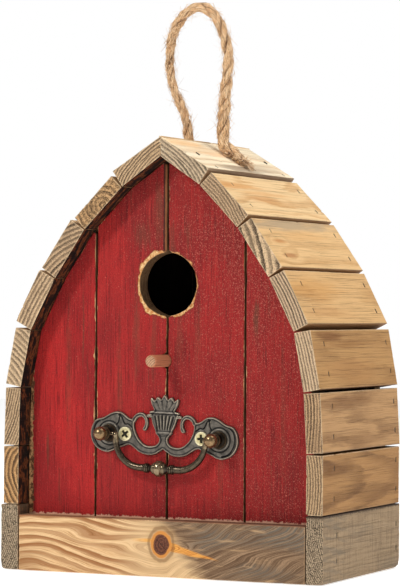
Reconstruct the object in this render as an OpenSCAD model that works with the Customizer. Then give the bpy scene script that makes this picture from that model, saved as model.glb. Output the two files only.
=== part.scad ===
// Rustic arched birdhouse: slatted pointed-arch shell, plank front and back, drawer-pull trim, rope loop.
// Millimetres. X is across, Y runs from the front (-) to the back (+), Z is up.
// The origin is the middle of the house on the surface it stands on.

/* [House] */
// Depth of the shell from the front ends of the slats to the back ends
depth = 129; // [120:1:140]
// Half the clear width between the two base side boards
half_span = 98.7; // [98:0.1:99.5]
// How far the red front sits back behind the ends of the slats
recess = 13; // [11:0.5:16]

/* [Slats] */
// Pitch of the slats, measured on the inside of the arch
slat_pitch = 37; // [36.7:0.1:37.3]
// Gap between neighbouring slats on the inside of the arch
slat_gap = 0.6; // [0.3:0.1:1.2]
// Thickness of the side slats
slat_t = 11; // [9:0.5:12]
// Thickness of the two ridge slats
ridge_t = 12; // [10:0.5:13]
// Gap at the mitre between the two ridge slats
ridge_gap = 0.4; // [0.2:0.1:1]
// Slope of the left slats above the horizontal, from the lowest slat to the ridge slat
left_slope = [89.8, 88.2, 79.0, 62.4, 55.8, 45.2, 35.0];
// Slope of the right slats above the horizontal, from the lowest slat to the ridge slat
right_slope = [90.2, 86.8, 79.9, 63.3, 55.4, 46.0, 34.0];
// How far the slats run past the back planks, from the lowest slat to the ridge slat
slat_over = [0, 1.5, 2.5, 4, 4.5, 5, 5.5];
// How much thicker each left side slat is, from the lowest slat to the ridge slat
left_extra = [0, 0, 0, 1.5, 0.7, -0.7, 0];
// How much thicker each right side slat is, from the lowest slat to the ridge slat
right_extra = [0, 0, 0, 0, 0, 0, 0];

/* [Base] */
// Height of the base side boards
base_h = 41.3; // [38:0.1:45]
// Thickness of the right base side board
base_t = 11.5; // [9:0.5:12]
// Thickness of the left base side board
base_t_left = 12.5; // [10:0.5:13]
// Height of the front rail
rail_h = 35; // [28:0.5:38]
// Thickness of the floor board
floor_t = 11; // [8:0.5:14]

/* [Planks] */
// Thickness of the front planks
front_t = 12; // [9:0.5:14]
// Thickness of the back planks
back_t = 11; // [9:0.5:14]
// Gap between neighbouring planks
plank_gap = 1.2; // [0.4:0.1:2]
// Seams between the front planks
front_seams = [-50.6, -0.7, 52.4];
// Seams between the back planks
back_seams = [-33, 33];

/* [Entrance and perch] */
// Diameter of the entrance hole
hole_d = 39.2; // [32:0.1:42]
// Middle of the entrance hole, across
hole_x = -0.6; // [-2:0.1:2]
// Height of the middle of the entrance hole
hole_z = 181; // [174:1:186]
// Diameter of the perch dowel
perch_d = 7.8; // [6:0.1:9]
// Height of the perch
perch_z = 133.3; // [126:0.1:140]
// Middle of the perch, across
perch_x = -2; // [-3:0.1:1]
// How far the perch stands out from the front planks
perch_out = 21.5; // [14:0.1:36]

/* [Drawer pull] */
// Distance between the two posts
pull_centres = 76; // [74:0.5:80]
// Middle of the pull, across
pull_x = -2.2; // [-4:0.1:2]
// Middle of the pull, height of the posts
pull_z = 86.3; // [80:0.1:92]
// How far the pull is turned clockwise, in degrees
pull_turn = 2; // [0:0.5:4]
// Thickness of the backplate
plate_t = 2; // [1.5:0.1:2.5]
// Radius of the bail's rod
bail_r = 2; // [1.6:0.1:2.1]
// Drop of the bail below the posts
bail_drop = 20; // [19:0.5:24]

/* [Clean-out] */
// Diameter of the clean-out hole in the back
clean_d = 40; // [30:1:46]
// Height of the middle of the clean-out hole
clean_z = 66; // [60:1:80]
// Thickness of the clean-out cover
cover_t = 4; // [3:0.5:6]

/* [Rope] */
// Diameter of the rope
rope_d = 6; // [4:0.5:6]

/* [Hidden] */

front_y = -depth / 2;              // front ends of the slats
back_y = depth / 2;                // back ends of the slats
plank_y = front_y + recess;        // front face of the red planks
inside_y = plank_y + front_t;      // inside face of the red planks
back_in_y = back_y - back_t;       // inside face of the back planks
wood_pine = [0.78, 0.62, 0.42];
wood_grey = [0.55, 0.48, 0.40];
barn_red = [0.62, 0.13, 0.15];
bronze = [0.30, 0.27, 0.24];
n_slats = len(left_slope);

// ---- arch -------------------------------------------------------------

// Inner corner i of one side of the arch, counted up from the base board: [x, z] on the right-hand side
function corner(slope, i) = i == 0 ? [half_span, base_h]
    : corner(slope, i - 1) + slat_pitch * [-cos(slope[i - 1]), sin(slope[i - 1])];

// Height at which the inside of a ridge slat meets the middle plane
function apex_z(slope) = let (p = corner(slope, n_slats - 1)) p[1] + p[0] * tan(slope[n_slats - 1]);

// Corners on the inside of one side of the arch, from the ground up
function inner_corners(slope) = concat([[half_span, 0]], [for (i = [0 : n_slats - 1]) corner(slope, i)]);

module upright(y0, y1) translate([0, y1, 0]) rotate([90, 0, 0]) linear_extrude(height = y1 - y0) children();

// Outline of the space inside the arch
module arch_2d() {
    right = inner_corners(right_slope);
    left = inner_corners(left_slope);
    polygon(concat(right, [[0, min(apex_z(right_slope), apex_z(left_slope)) - 0.4]],
        [for (i = [len(left) - 1 : -1 : 0]) [-left[i][0], left[i][1]]]));
}

// Part of the arch between two seams
module plank_2d(x0, x1) intersection() {
    arch_2d();
    translate([x0, -1]) square([x1 - x0, 400]);
}

// Thickness of slat k, 1 at the ridge
function thick(extra, k) = k == 1 ? ridge_t : slat_t + extra[n_slats - k];

// Slat k of a right-hand side, 1 at the ridge
module slat_2d(slope, extra, k) {
    i = n_slats - k;
    p = corner(slope, i);
    t = thick(extra, k);
    len = k == 1 ? 60 : slat_pitch - slat_gap / 2;
    intersection() {
        translate(p) rotate(180 - slope[i]) translate([slat_gap / 2, -t]) square([len - slat_gap / 2, t]);
        translate([ridge_gap / 2, 0]) square([200, 400]);
    }
}

module slat(slope, extra, k) upright(front_y, back_y + slat_over[n_slats - k]) slat_2d(slope, extra, k);

module base_side(t) upright(front_y, back_y) translate([half_span, 0]) square([t, base_h]);

// ---- rope holes -------------------------------------------------------

rope_left_x = -12;
rope_y = 1.5;
rope_right = [23, 5];
module rope_hole_left() translate([rope_left_x, rope_y, 230]) cylinder(r = rope_d / 2 + 0.8, h = 60, $fn = 32);
module rope_hole_right() translate([rope_right[0], rope_right[1], 220]) cylinder(r = rope_d / 2 + 1.6, h = 60, $fn = 32);

module slat_left(k) {
    color(k % 2 == 0 ? wood_pine : wood_grey) difference() {
        mirror([1, 0, 0]) slat(left_slope, left_extra, k);
        if (k == 1) rope_hole_left();
    }
}

module slat_right(k) {
    color(k % 2 == 0 ? wood_pine : wood_grey) difference() {
        slat(right_slope, right_extra, k);
        if (k == 1) rope_hole_right();
    }
}

// ---- base, floor, planks ------------------------------------------------

module base_side_left() color(wood_grey) mirror([1, 0, 0]) base_side(base_t_left);
module base_side_right() color(wood_grey) base_side(base_t);

module front_rail() color(wood_pine)
    translate([-half_span + 0.5, front_y, 0]) cube([2 * half_span - 1, recess, rail_h]);

module floor_board() color(wood_pine)
    translate([-half_span + 0.3, inside_y + 0.2, 0]) cube([2 * half_span - 0.6, back_in_y - inside_y - 0.4, floor_t]);

module entrance() translate([hole_x, 0, hole_z]) rotate([90, 0, 0]) cylinder(d = hole_d, h = 300, center = true, $fn = 96);
module perch_bore() translate([perch_x, 0, perch_z]) rotate([90, 0, 0]) cylinder(d = perch_d, h = 300, center = true, $fn = 48);

module front_plank(x0, x1) color(barn_red) difference() {
    upright(plank_y, inside_y) plank_2d(x0, x1);
    if (x0 < hole_d / 2 && x1 > -hole_d / 2) { entrance(); perch_bore(); }
}

module back_plank(x0, x1) color(wood_pine) difference() {
    upright(back_in_y, back_y) plank_2d(x0, x1);
    if (x0 < 0 && x1 > 0) translate([0, 0, clean_z]) rotate([90, 0, 0]) cylinder(d = clean_d, h = 300, center = true, $fn = 96);
}

function lo(seams, i) = i == 0 ? -half_span + 0.3 : seams[i - 1] + plank_gap / 2;
function hi(seams, i) = i == len(seams) ? half_span - 0.3 : seams[i] - plank_gap / 2;

module perch_dowel() color([0.80, 0.58, 0.47]) translate([perch_x, 0, perch_z]) rotate([90, 0, 0])
    translate([0, 0, -inside_y]) rotate_extrude($fn = 48) polygon(concat(
        [[0, 0], [perch_d / 2, 0]],
        [for (a = [0 : 15 : 90]) [perch_d / 2 - 2 + 2 * cos(a), front_t + perch_out - 2 + 2 * sin(a)]],
        [[0, front_t + perch_out]]));

// ---- drawer pull ----------------------------------------------------------

post_x = pull_centres / 2;
screw_x = 26.4;
plate_y = plank_y - plate_t;       // front face of the backplate
pin_y = plate_y - 4;               // axis on which the bail swings
ball_y = plate_y - 11.5;           // middle of a post's ball end
pin_r = 1.15;

// Places the pull on the front: its own x is across, z is up from the posts' axis
module at_pull() translate([pull_x, 0, pull_z]) rotate([0, pull_turn, 0]) children();

// Curved strip of the scrollwork about a centre, between two angles
module strip(c, r, w, a0, a1) polygon(concat(
    [for (i = [0 : 12]) c + (r + w / 2) * [cos(a0 + (a1 - a0) * i / 12), sin(a0 + (a1 - a0) * i / 12)]],
    [for (i = [12 : -1 : 0]) c + (r - w / 2) * [cos(a0 + (a1 - a0) * i / 12), sin(a0 + (a1 - a0) * i / 12)]]));

module plate_half_2d() {
    translate([post_x + 1.2, -0.6]) circle(r = 12, $fn = 64);            // round lobe behind the post
    translate([32, 7]) circle(r = 6.8, $fn = 48);                        // hump above it
    polygon([[40, 11], [31, 13], [25.5, 10.5], [21.5, 9], [20.5, 5], [20, 1], [17, -3], [22, -7.5], [24.5, -6.5], [30, -8.5], [36, -11]]);
    strip([9.5, 4.5], 14, 6, -125, -30);                                 // lower scroll
    strip([16.2, 8.6], 4.2, 2.6, 20, 200);                               // upper hook
    polygon([[10.7, 8], [13.4, 8], [15, 4], [14.2, 2.6], [12.6, 2.7], [11, 5.5]]);
    polygon([[18.6, 11], [21.6, 11.5], [22.5, 6], [20, 5]]);
    polygon([[8, 9], [12, 8.8], [12, 11.6], [8, 12]]);                   // bridge to the urn
    polygon([[-0.1, -8], [-0.1, -4], [2.8, -4], [6, -6.8], [4, -10.5], [1.2, -8.8]]);
}

module urn_2d() polygon([[-2.8, -5], [2.8, -5], [2.8, -2.4], [3.4, -0.4], [5.7, 0.5], [5.7, 2], [7.3, 4.8], [8.3, 7.6], [9.2, 11],
    [9.9, 12.8], [10.3, 14], [7, 14.6], [9, 17.8], [10, 20.6], [9.7, 23.2], [6.9, 21], [5.4, 23.9], [2.4, 21.7], [0.4, 25],
    [-2.3, 21.7], [-5.2, 23.9], [-6.8, 21], [-9.5, 23.2], [-9.9, 20.6], [-9, 17.8], [-7, 14.6], [-10.3, 14], [-9.9, 12.8],
    [-9.2, 11], [-8.3, 7.6], [-7.3, 4.8], [-5.7, 2], [-5.7, 0.5], [-3.4, -0.4], [-2.8, -2.4]]);

module pull_backplate() color(bronze) at_pull() difference() {
    upright(plate_y, plank_y) offset(r = 0.3, $fn = 12) offset(delta = -0.3) {
        urn_2d();
        plate_half_2d();
        mirror([1, 0]) plate_half_2d();
    }
    for (s = [-1, 1]) {
        translate([s * screw_x, 0, 0]) rotate([90, 0, 0]) cylinder(r = 2, h = 200, center = true, $fn = 32);
        translate([s * post_x, 0, 0]) rotate([90, 0, 0]) cylinder(r = 2, h = 200, center = true, $fn = 32);
    }
}

// Turned post: rivet, foot, neck with the cross bore, collar and ball
module pull_post(s) color([0.42, 0.34, 0.22]) at_pull() difference() {
    translate([s * post_x, plank_y, 0]) rotate([90, 0, 0]) rotate_extrude($fn = 48) polygon(concat(
        [[0, 0], [2, 0], [2, plate_t], [5, plate_t], [5, plate_t + 0.8], [3.3, plate_t + 1.6], [3.1, plate_t + 6], [4.2, plate_t + 6.6], [4.2, plate_t + 7.4], [2.6, plate_t + 8]],
        [for (a = [-52 : 14.2 : 89]) [4.4 * cos(a), plate_t + 11.5 + 4.4 * sin(a)]],
        [[0, plate_t + 11.5 + 4.4]]));
    translate([s * (post_x - 2), pin_y, 0]) rotate([0, 90, 0]) cylinder(r = pin_r + 0.05, h = 7, center = true, $fn = 32);
}

// Bail: two pins, two elbows, a rod that drops and sweeps in, rings and a bead in the middle
module bail_side() {
    translate([31, 0, 0]) rotate([0, 90, 0]) cylinder(r = pin_r, h = post_x - 31 + 1, $fn = 32);
    translate([31, 0, 0]) sphere(r = bail_r, $fn = 32);
    translate([31, 0, -2]) cylinder(r = bail_r, h = 2, $fn = 32);
    translate([31 - (bail_drop - 2), 0, -2]) rotate([-90, 0, 0]) rotate([0, 0, 0])
        rotate_extrude(angle = 90, $fn = 64) translate([bail_drop - 2, 0]) circle(r = bail_r, $fn = 24);
    translate([-0.1, 0, -bail_drop]) rotate([0, 90, 0]) cylinder(r = bail_r, h = 31 - (bail_drop - 2) + 0.1, $fn = 32);
    for (x = [7.6, 9.4]) translate([x, 0, -bail_drop]) rotate([0, 90, 0]) cylinder(r = 2.9, h = 1.1, $fn = 32);
}

module pull_bail() color([0.36, 0.31, 0.24]) at_pull() translate([0, pin_y, 0]) {
    bail_side();
    mirror([1, 0, 0]) bail_side();
    translate([0, 0, -bail_drop]) rotate([0, 90, 0]) rotate_extrude($fn = 48)
        polygon(concat([[0, -2.4]], [for (a = [-80 : 20 : 80]) [2.4 + 2.7 * cos(a), 2.4 * sin(a)]], [[0, 2.4]]));
}

module pull_screws() color([0.86, 0.80, 0.52]) at_pull() for (s = [-1, 1]) translate([s * screw_x, 0, 0]) difference() {
    union() {
        translate([0, plate_y, 0]) rotate([90, 0, 0]) cylinder(r1 = 4.5, r2 = 4, h = 1.1, $fn = 32);
        translate([0, plate_y + 13, 0]) rotate([90, 0, 0]) cylinder(r = 1.7, h = 13, $fn = 24);
    }
    for (a = [45, 135]) rotate([0, a, 0]) translate([-2.4, plate_y - 2, -0.45]) cube([4.8, 1.8, 0.9]);
}

// ---- brads ------------------------------------------------------------------

brad_len = 16;
brad_front_y = plank_y + front_t / 2;
brad_back_y = back_y - back_t / 2;

// One brad: head flush with the face at z = 0, wire going down
module brad() {
    translate([-1.5, -0.6, -0.8]) cube([3, 1.2, 0.8]);
    translate([-0.6, -0.5, -brad_len]) cube([1.2, 1, brad_len - 0.5]);
}

module side_brads(slope, extra, t) {
    for (k = [1 : n_slats], s = [0.26, 0.76], y = [brad_front_y, brad_back_y]) {
        i = n_slats - k;
        p = corner(slope, i);
        along = k == 1 ? 31 * s - 4 : slat_pitch * s;
        translate([p[0], y, p[1]]) rotate([0, slope[i] - 180, 0]) translate([along, 0, -thick(extra, k)])
            rotate([180, 0, 0]) brad();
    }
    for (z = [13, 28.5], y = [plank_y + 0.8 * front_t, brad_back_y]) translate([half_span + t, y, z]) rotate([0, 90, 0]) brad();
}

module brads() color([0.33, 0.30, 0.28]) {
    side_brads(right_slope, right_extra, base_t);
    mirror([1, 0, 0]) side_brads(left_slope, left_extra, base_t_left);
}

// ---- clean-out ----------------------------------------------------------------

pivot_z = clean_z + 31;
cover_y = back_y + 0.3;
module cleanout_cover() color(wood_pine) difference() {
    upright(cover_y, cover_y + cover_t) union() {
        translate([0, clean_z]) circle(r = 26, $fn = 96);
        translate([0, pivot_z]) circle(r = 9, $fn = 48);
        polygon([[-9, pivot_z], [-20, clean_z + 16], [20, clean_z + 16], [9, pivot_z]]);
    }
    translate([0, back_y, pivot_z]) rotate([90, 0, 0]) cylinder(r = 2.07, h = 60, center = true, $fn = 32);
}

module cleanout_screw() color([0.70, 0.70, 0.68]) translate([0, 0, pivot_z]) difference() {
    union() {
        translate([0, cover_y + cover_t, 0]) rotate([90, 0, 0]) cylinder(r = 2, h = cover_t + 9, $fn = 32);
        translate([0, cover_y + cover_t + 0.2, 0]) rotate([-90, 0, 0]) cylinder(r1 = 4.2, r2 = 3.4, h = 1.8, $fn = 32);
        translate([0, cover_y + cover_t - 0.1, 0]) rotate([-90, 0, 0]) cylinder(r = 2, h = 0.5, $fn = 32);
    }
    for (a = [0, 90]) rotate([0, a, 0]) translate([-2.3, cover_y + cover_t + 1.1, -0.45]) cube([4.6, 2, 0.9]);
}

// ---- rope -----------------------------------------------------------------------

// Points on the middle of the rope, from the left knot over the loop to the right knot
rope_route = [
    [-12, 1.5, 242], [-12, 1.5, 252], [-12, 1.5, 264], [-12, 1.5, 276], [-13, 1.5, 285], [-15.5, 1.5, 292.5], [-19, 1.5, 300],
    [-22.5, 1.5, 308], [-25, 1.5, 317], [-25.5, 1.5, 328], [-24.5, 1.5, 338], [-21.5, 1.5, 346.5], [-17, 1.5, 353],
    [-11, 1.5, 357.5], [-4, 1.5, 359.5], [3, 1.5, 356.5], [8, 1.5, 351], [12, 1.5, 343.5], [14.5, 1.5, 335],
    [16, 1.5, 325], [15.5, 1.5, 315], [14, 1.5, 304], [13.3, 1.5, 294], [13, 1.5, 285], [12.5, 1.5, 277.5],
    [12.7, 1.6, 272.6], [14, 2.1, 269.5], [16.8, 3, 267.2], [20.4, 4.1, 264.6], [22.8, 4.8, 260.6], [23.5, 5, 254.5], [23.5, 5, 247], [23.5, 5, 238]
];

// Smooth curve through the route
function cr(a, b, c, d, t) = 0.5 * ((2 * b) + (c - a) * t + (2 * a - 5 * b + 4 * c - d) * t * t + (3 * b - a - 3 * c + d) * t * t * t);
function rope_at(i, t) = let (r = rope_route, n = len(r) - 1)
    cr(r[max(i - 1, 0)], r[i], r[min(i + 1, n)], r[min(i + 2, n)], t);
rope_line = concat([for (i = [0 : len(rope_route) - 2], t = [0, 0.5]) rope_at(i, t)], [rope_route[len(rope_route) - 1]]);
function unit(v) = v / norm(v);
function rope_ring(i) = let (
        n = len(rope_line) - 1,
        t = unit(rope_line[min(i + 1, n)] - rope_line[max(i - 1, 0)]),
        u = unit(cross(t, [0, 1, 0])),
        v = cross(t, u))
    [for (a = [0 : 36 : 324]) rope_line[i] + rope_d / 2 * (cos(a) * u + sin(a) * v)];
rope_points = [for (i = [0 : len(rope_line) - 1]) each rope_ring(i)];
rope_faces = concat(
    [[for (k = [0 : 9]) k]],
    [for (i = [0 : len(rope_line) - 2], k = [0 : 9]) [i * 10 + k, (i + 1) * 10 + k, (i + 1) * 10 + (k + 1) % 10, i * 10 + (k + 1) % 10]],
    [[for (k = [9 : -1 : 0]) (len(rope_line) - 1) * 10 + k]]);

module rope_loop() color([0.72, 0.55, 0.35]) polyhedron(points = rope_points, faces = rope_faces, convexity = 6);

module rope_knot_left() color([0.68, 0.50, 0.32]) translate([-12, 1.5, 240]) sphere(r = 6.2, $fn = 32);
module rope_knot_right() color([0.68, 0.50, 0.32]) translate([23, 5, 235.5]) sphere(r = 6.2, $fn = 32);

// ---- nodes ------------------------------------------------------------------------

slat_left(1);  // slat_left_1
slat_left(2);  // slat_left_2
slat_left(3);  // slat_left_3
slat_left(4);  // slat_left_4
slat_left(5);  // slat_left_5
slat_left(6);  // slat_left_6
slat_left(7);  // slat_left_7
slat_right(1);  // slat_right_1
slat_right(2);  // slat_right_2
slat_right(3);  // slat_right_3
slat_right(4);  // slat_right_4
slat_right(5);  // slat_right_5
slat_right(6);  // slat_right_6
slat_right(7);  // slat_right_7
base_side_left();
base_side_right();
front_rail();
floor_board();
front_plank(lo(front_seams, 0), hi(front_seams, 0));  // front_plank_outer_left
front_plank(lo(front_seams, 1), hi(front_seams, 1));  // front_plank_inner_left
front_plank(lo(front_seams, 2), hi(front_seams, 2));  // front_plank_inner_right
front_plank(lo(front_seams, 3), hi(front_seams, 3));  // front_plank_outer_right
back_plank(lo(back_seams, 0), hi(back_seams, 0));  // back_plank_left
back_plank(lo(back_seams, 1), hi(back_seams, 1));  // back_plank_middle
back_plank(lo(back_seams, 2), hi(back_seams, 2));  // back_plank_right
perch_dowel();
pull_backplate();
pull_post(-1);  // pull_post_left
pull_post(1);  // pull_post_right
pull_bail();
pull_screws();
brads();
cleanout_cover();
cleanout_screw();
rope_loop();
rope_knot_left();
rope_knot_right();
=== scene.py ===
# Rustic arched birdhouse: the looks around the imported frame. Metres, +Z up; most shapes are worked out in mm first.
import math

import bpy
import numpy as np
from mathutils import Matrix, Vector


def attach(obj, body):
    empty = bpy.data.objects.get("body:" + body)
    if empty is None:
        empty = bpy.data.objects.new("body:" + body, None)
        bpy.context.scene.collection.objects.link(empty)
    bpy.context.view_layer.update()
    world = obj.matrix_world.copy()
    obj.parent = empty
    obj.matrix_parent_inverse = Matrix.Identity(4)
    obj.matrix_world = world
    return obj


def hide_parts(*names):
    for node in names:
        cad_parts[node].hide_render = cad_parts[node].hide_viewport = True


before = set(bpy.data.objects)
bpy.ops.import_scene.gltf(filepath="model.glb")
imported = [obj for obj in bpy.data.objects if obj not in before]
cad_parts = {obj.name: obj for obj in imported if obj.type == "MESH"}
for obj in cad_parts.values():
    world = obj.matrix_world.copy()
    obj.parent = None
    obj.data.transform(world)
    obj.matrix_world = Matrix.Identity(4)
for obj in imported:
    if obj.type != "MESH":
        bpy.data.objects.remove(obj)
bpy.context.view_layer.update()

scene = bpy.context.scene


# ---------------------------------------------------------------- noise

def vnoise(p, seed=0):
    """Smooth value noise from 0 to 1 at points p (n, 3)."""
    p = np.asarray(p, float)
    i = np.floor(p).astype(np.int64)
    f = p - i
    f = f * f * (3 - 2 * f)

    def h(a, b, c):
        n = (a * 374761393 + b * 668265263 + c * 1442695041 + seed * 1274126177) & 0xFFFFFFFF
        n = ((n ^ (n >> 13)) * 1274126177) & 0xFFFFFFFF
        n = ((n ^ (n >> 15)) * 2246822519) & 0xFFFFFFFF
        return ((n ^ (n >> 16)) & 0xFFFFFF) / float(0xFFFFFF)

    out = 0
    for dx in (0, 1):
        for dy in (0, 1):
            for dz in (0, 1):
                w = (f[:, 0] if dx else 1 - f[:, 0]) * (f[:, 1] if dy else 1 - f[:, 1]) * (f[:, 2] if dz else 1 - f[:, 2])
                out = out + w * h(i[:, 0] + dx, i[:, 1] + dy, i[:, 2] + dz)
    return out


def fbm(p, seed=0, octaves=3, gain=0.5):
    p = np.asarray(p, float)
    a, s, t = 1.0, 0.0, 0.0
    for k in range(octaves):
        s = s + a * vnoise(p * 2.03 ** k, seed + 17 * k)
        t += a
        a *= gain
    return s / t


def sstep(x, a, b):
    t = np.clip((x - a) / (b - a), 0, 1)
    return t * t * (3 - 2 * t)


# ---------------------------------------------------------------- mesh helpers

def make_object(name, verts_mm, faces, mats, smooth=True, attrs=None, face_mat=None):
    """A mesh object from points in mm and faces (lists of indices). attrs: name -> (n,) or (n, 3) array."""
    v = np.asarray(verts_mm, float) / 1000.0
    faces = [list(map(int, f)) for f in faces]
    # outward faces: the signed volume comes out positive
    vol = 0.0
    arr = {}
    for f in faces:
        arr.setdefault(len(f), []).append(f)
    for k, fs in arr.items():
        q = np.array(fs)
        for j in range(1, k - 1):
            vol += np.einsum("ij,ij->i", v[q[:, 0]], np.cross(v[q[:, j]], v[q[:, j + 1]])).sum()
    if vol < 0:
        faces = [f[::-1] for f in faces]
    me = bpy.data.meshes.new(name)
    me.from_pydata(v.tolist(), [], faces)
    if attrs:
        for k, a in attrs.items():
            a = np.asarray(a, np.float32)
            if a.ndim == 2:
                at = me.attributes.new(k, "FLOAT_VECTOR", "POINT")
                at.data.foreach_set("vector", a.ravel())
            else:
                at = me.attributes.new(k, "FLOAT", "POINT")
                at.data.foreach_set("value", a.ravel())
    for m in (mats if isinstance(mats, (list, tuple)) else [mats]):
        me.materials.append(m)
    if face_mat is not None:
        me.polygons.foreach_set("material_index", np.asarray(face_mat, np.int32))
    me.polygons.foreach_set("use_smooth", np.full(len(me.polygons), smooth))
    me.update()
    o = bpy.data.objects.new(name, me)
    scene.collection.objects.link(o)
    return o


def place(o, body, slot, *nodes):
    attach(o, body)
    if nodes:
        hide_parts(*nodes)
    return o


def lines(length, step, extra=(), ends=(0.0, 0.14, 0.34, 0.62, 1.0, 1.55, 2.3)):
    """Grid lines from 0 to length, closer together near both ends and at the extra places."""
    ends = [e for e in ends if e < length / 2 - 0.2]
    inner = np.linspace(ends[-1], length - ends[-1], max(2, int(round((length - 2 * ends[-1]) / step)) + 1))
    xs = np.array(sorted(list(ends) + [length - e for e in ends] + list(inner[1:-1])))
    if len(extra):
        extra = np.array(sorted(extra))
        keep = np.array([np.abs(extra - x).min() > 0.22 or x < 0.05 or x > length - 0.05 for x in xs])
        xs = np.sort(np.concatenate([xs[keep], extra]))
    out = [xs[0]]
    for x in xs[1:]:
        if x - out[-1] > 0.07:
            out.append(x)
    out[-1] = length
    return np.array(out)


def box_lattice(a, b, c):
    """Points and faces of a box's surface on the grid lines a, b, c."""
    na, nb, nc = len(a), len(b), len(c)
    mask = np.zeros((na, nb, nc), bool)
    mask[0] = mask[-1] = True
    mask[:, 0] = mask[:, -1] = True
    mask[:, :, 0] = mask[:, :, -1] = True
    idx = -np.ones((na, nb, nc), np.int64)
    idx[mask] = np.arange(mask.sum())
    i, j, k = np.nonzero(mask)
    pts = np.stack([a[i], b[j], c[k]], 1)

    def quads(g, flip):
        q = np.stack([g[:-1, :-1], g[1:, :-1], g[1:, 1:], g[:-1, 1:]], -1).reshape(-1, 4)
        return q[:, ::-1] if flip else q

    faces = np.concatenate([
        quads(idx[:, :, -1], False), quads(idx[:, :, 0], True),
        quads(idx[-1, :, :], False), quads(idx[0, :, :], True),
        quads(idx[:, -1, :], True), quads(idx[:, 0, :], False)])
    return pts, faces


def board(name, size, to_world, mats, seed, steps=(1.3, 2.2, 1.2), radius=(0.12, 0.45), rough=0.11, brads=(), shear=None,
          soft_edge=None, wave=0.1, notch=None):
    """A sawn board. Local axes: v across (0), u along the grain (1), w from the outer face inward (2), all in mm.
    brads: (v, u) places of brad heads on the outer face. shear(p) moves the local points last."""
    L = np.array(size, float)
    ev, eu = [], []
    for bv, bu in brads:
        ev += [bv - 1.75, bv - 1.5, bv, bv + 1.5, bv + 1.75]
        eu += [bu - 0.85, bu - 0.6, bu + 0.6, bu + 0.85]
    if notch:
        eu += [notch[0] - 0.35, notch[0] - 0.1, notch[1] + 0.1, notch[1] + 0.35]
        ev += [notch[2]]
    a = lines(L[0], steps[0], sorted(set(ev)))
    b = lines(L[1], steps[1], sorted(set(eu)))
    c = lines(L[2], steps[2])
    p, faces = box_lattice(a, b, c)
    ref = p.copy()
    # distance from the nearest edge of the box
    dist = np.minimum(p, L - p)
    ed = np.sort(dist, 1)[:, 1]
    n1 = fbm(p * [0.16, 0.05, 0.16], seed, 3)
    n2 = fbm(p * [0.5, 0.22, 0.5], seed + 5, 3)
    r = radius[0] + (radius[1] - radius[0]) * sstep(0.6 * n1 + 0.4 * n2, 0.35, 0.75)
    r = r + 2.2 * radius[1] * sstep(fbm(p * [0.22, 0.11, 0.22], seed + 9, 2), 0.76, 0.9)
    if soft_edge is not None:
        r = r + soft_edge(p)
    r = np.minimum(r, L.min() * 0.45)[:, None]
    q = np.clip(p, r, L - r)
    d = p - q
    m = np.linalg.norm(d, axis=1, keepdims=True)
    nrm = d / np.maximum(m, 1e-9)
    p = q + nrm * np.minimum(r, m)
    # saw marks, raised grain and small dents, always inward
    end = np.abs(nrm[:, 1]) ** 2
    long_rough = fbm(ref * [0.9, 0.05, 0.9], seed + 21, 3) * 0.6 + fbm(ref * [0.25, 0.02, 0.25], seed + 22, 2) * 0.4
    end_rough = fbm(ref * [0.8, 0.8, 0.8], seed + 31, 3)
    disp = rough * (long_rough * (1 - end) + 1.3 * end_rough * end) + wave * fbm(ref * [0.04, 0.02, 0.04], seed + 41, 2) \
        + 0.5 * sstep(fbm(ref * [0.3, 0.1, 0.3], seed + 51, 2), 0.78, 0.9)
    for bv, bu in brads:
        inside = (np.abs(ref[:, 0] - bv) <= 1.55) & (np.abs(ref[:, 1] - bu) <= 0.65) & (ref[:, 2] < 0.01)
        near = (np.abs(ref[:, 0] - bv) <= 3.2) & (np.abs(ref[:, 1] - bu) <= 2.2) & (ref[:, 2] < 0.01)
        disp = disp + 0.75 * inside + 0.12 * near
    if notch:
        cut = (ref[:, 1] > notch[0] - 0.12) & (ref[:, 1] < notch[1] + 0.12) & (ref[:, 0] <= notch[2] + 0.01) & (ref[:, 2] < notch[3])
        disp = disp + np.where(cut & (ref[:, 2] < 0.01), notch[3], 0)
    p = p - nrm * disp[:, None]
    if shear is not None:
        p = shear(p)
    world = to_world(p)
    o = make_object(name, world, faces, mats, attrs={"bp": ref, "ed": ed})
    return o


# ---------------------------------------------------------------- flat pieces from an outline

def seg_sdf(poly):
    """Signed distance (positive inside) to a closed polygon."""
    poly = np.asarray(poly, float)
    a = poly
    b = np.roll(poly, -1, 0)
    ab = b - a
    ll = (ab ** 2).sum(1)
    keep = ll > 1e-12
    a, b, ab, ll = a[keep], b[keep], ab[keep], ll[keep]

    def f(p):
        p = np.asarray(p, float)
        out = np.empty(len(p))
        for s in range(0, len(p), 20000):
            q = p[s:s + 20000]
            ap = q[:, None, :] - a[None]
            t = np.clip((ap * ab[None]).sum(-1) / ll[None], 0, 1)
            d = np.sqrt(((ap - t[..., None] * ab[None]) ** 2).sum(-1)).min(1)
            y = q[:, 1][:, None]
            x = q[:, 0][:, None]
            cond = (a[None, :, 1] > y) != (b[None, :, 1] > y)
            dy = np.where(np.abs(ab[:, 1]) < 1e-12, 1e-12, ab[:, 1])
            xin = a[None, :, 0] + (y - a[None, :, 1]) * ab[None, :, 0] / dy[None]
            inside = (cond & (x < xin)).sum(1) % 2 == 1
            out[s:s + 20000] = np.where(inside, d, -d)
        return out
    return f


def circle_sdf(cx, cz, r):
    return lambda p: r - np.hypot(p[:, 0] - cx, p[:, 1] - cz)


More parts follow.
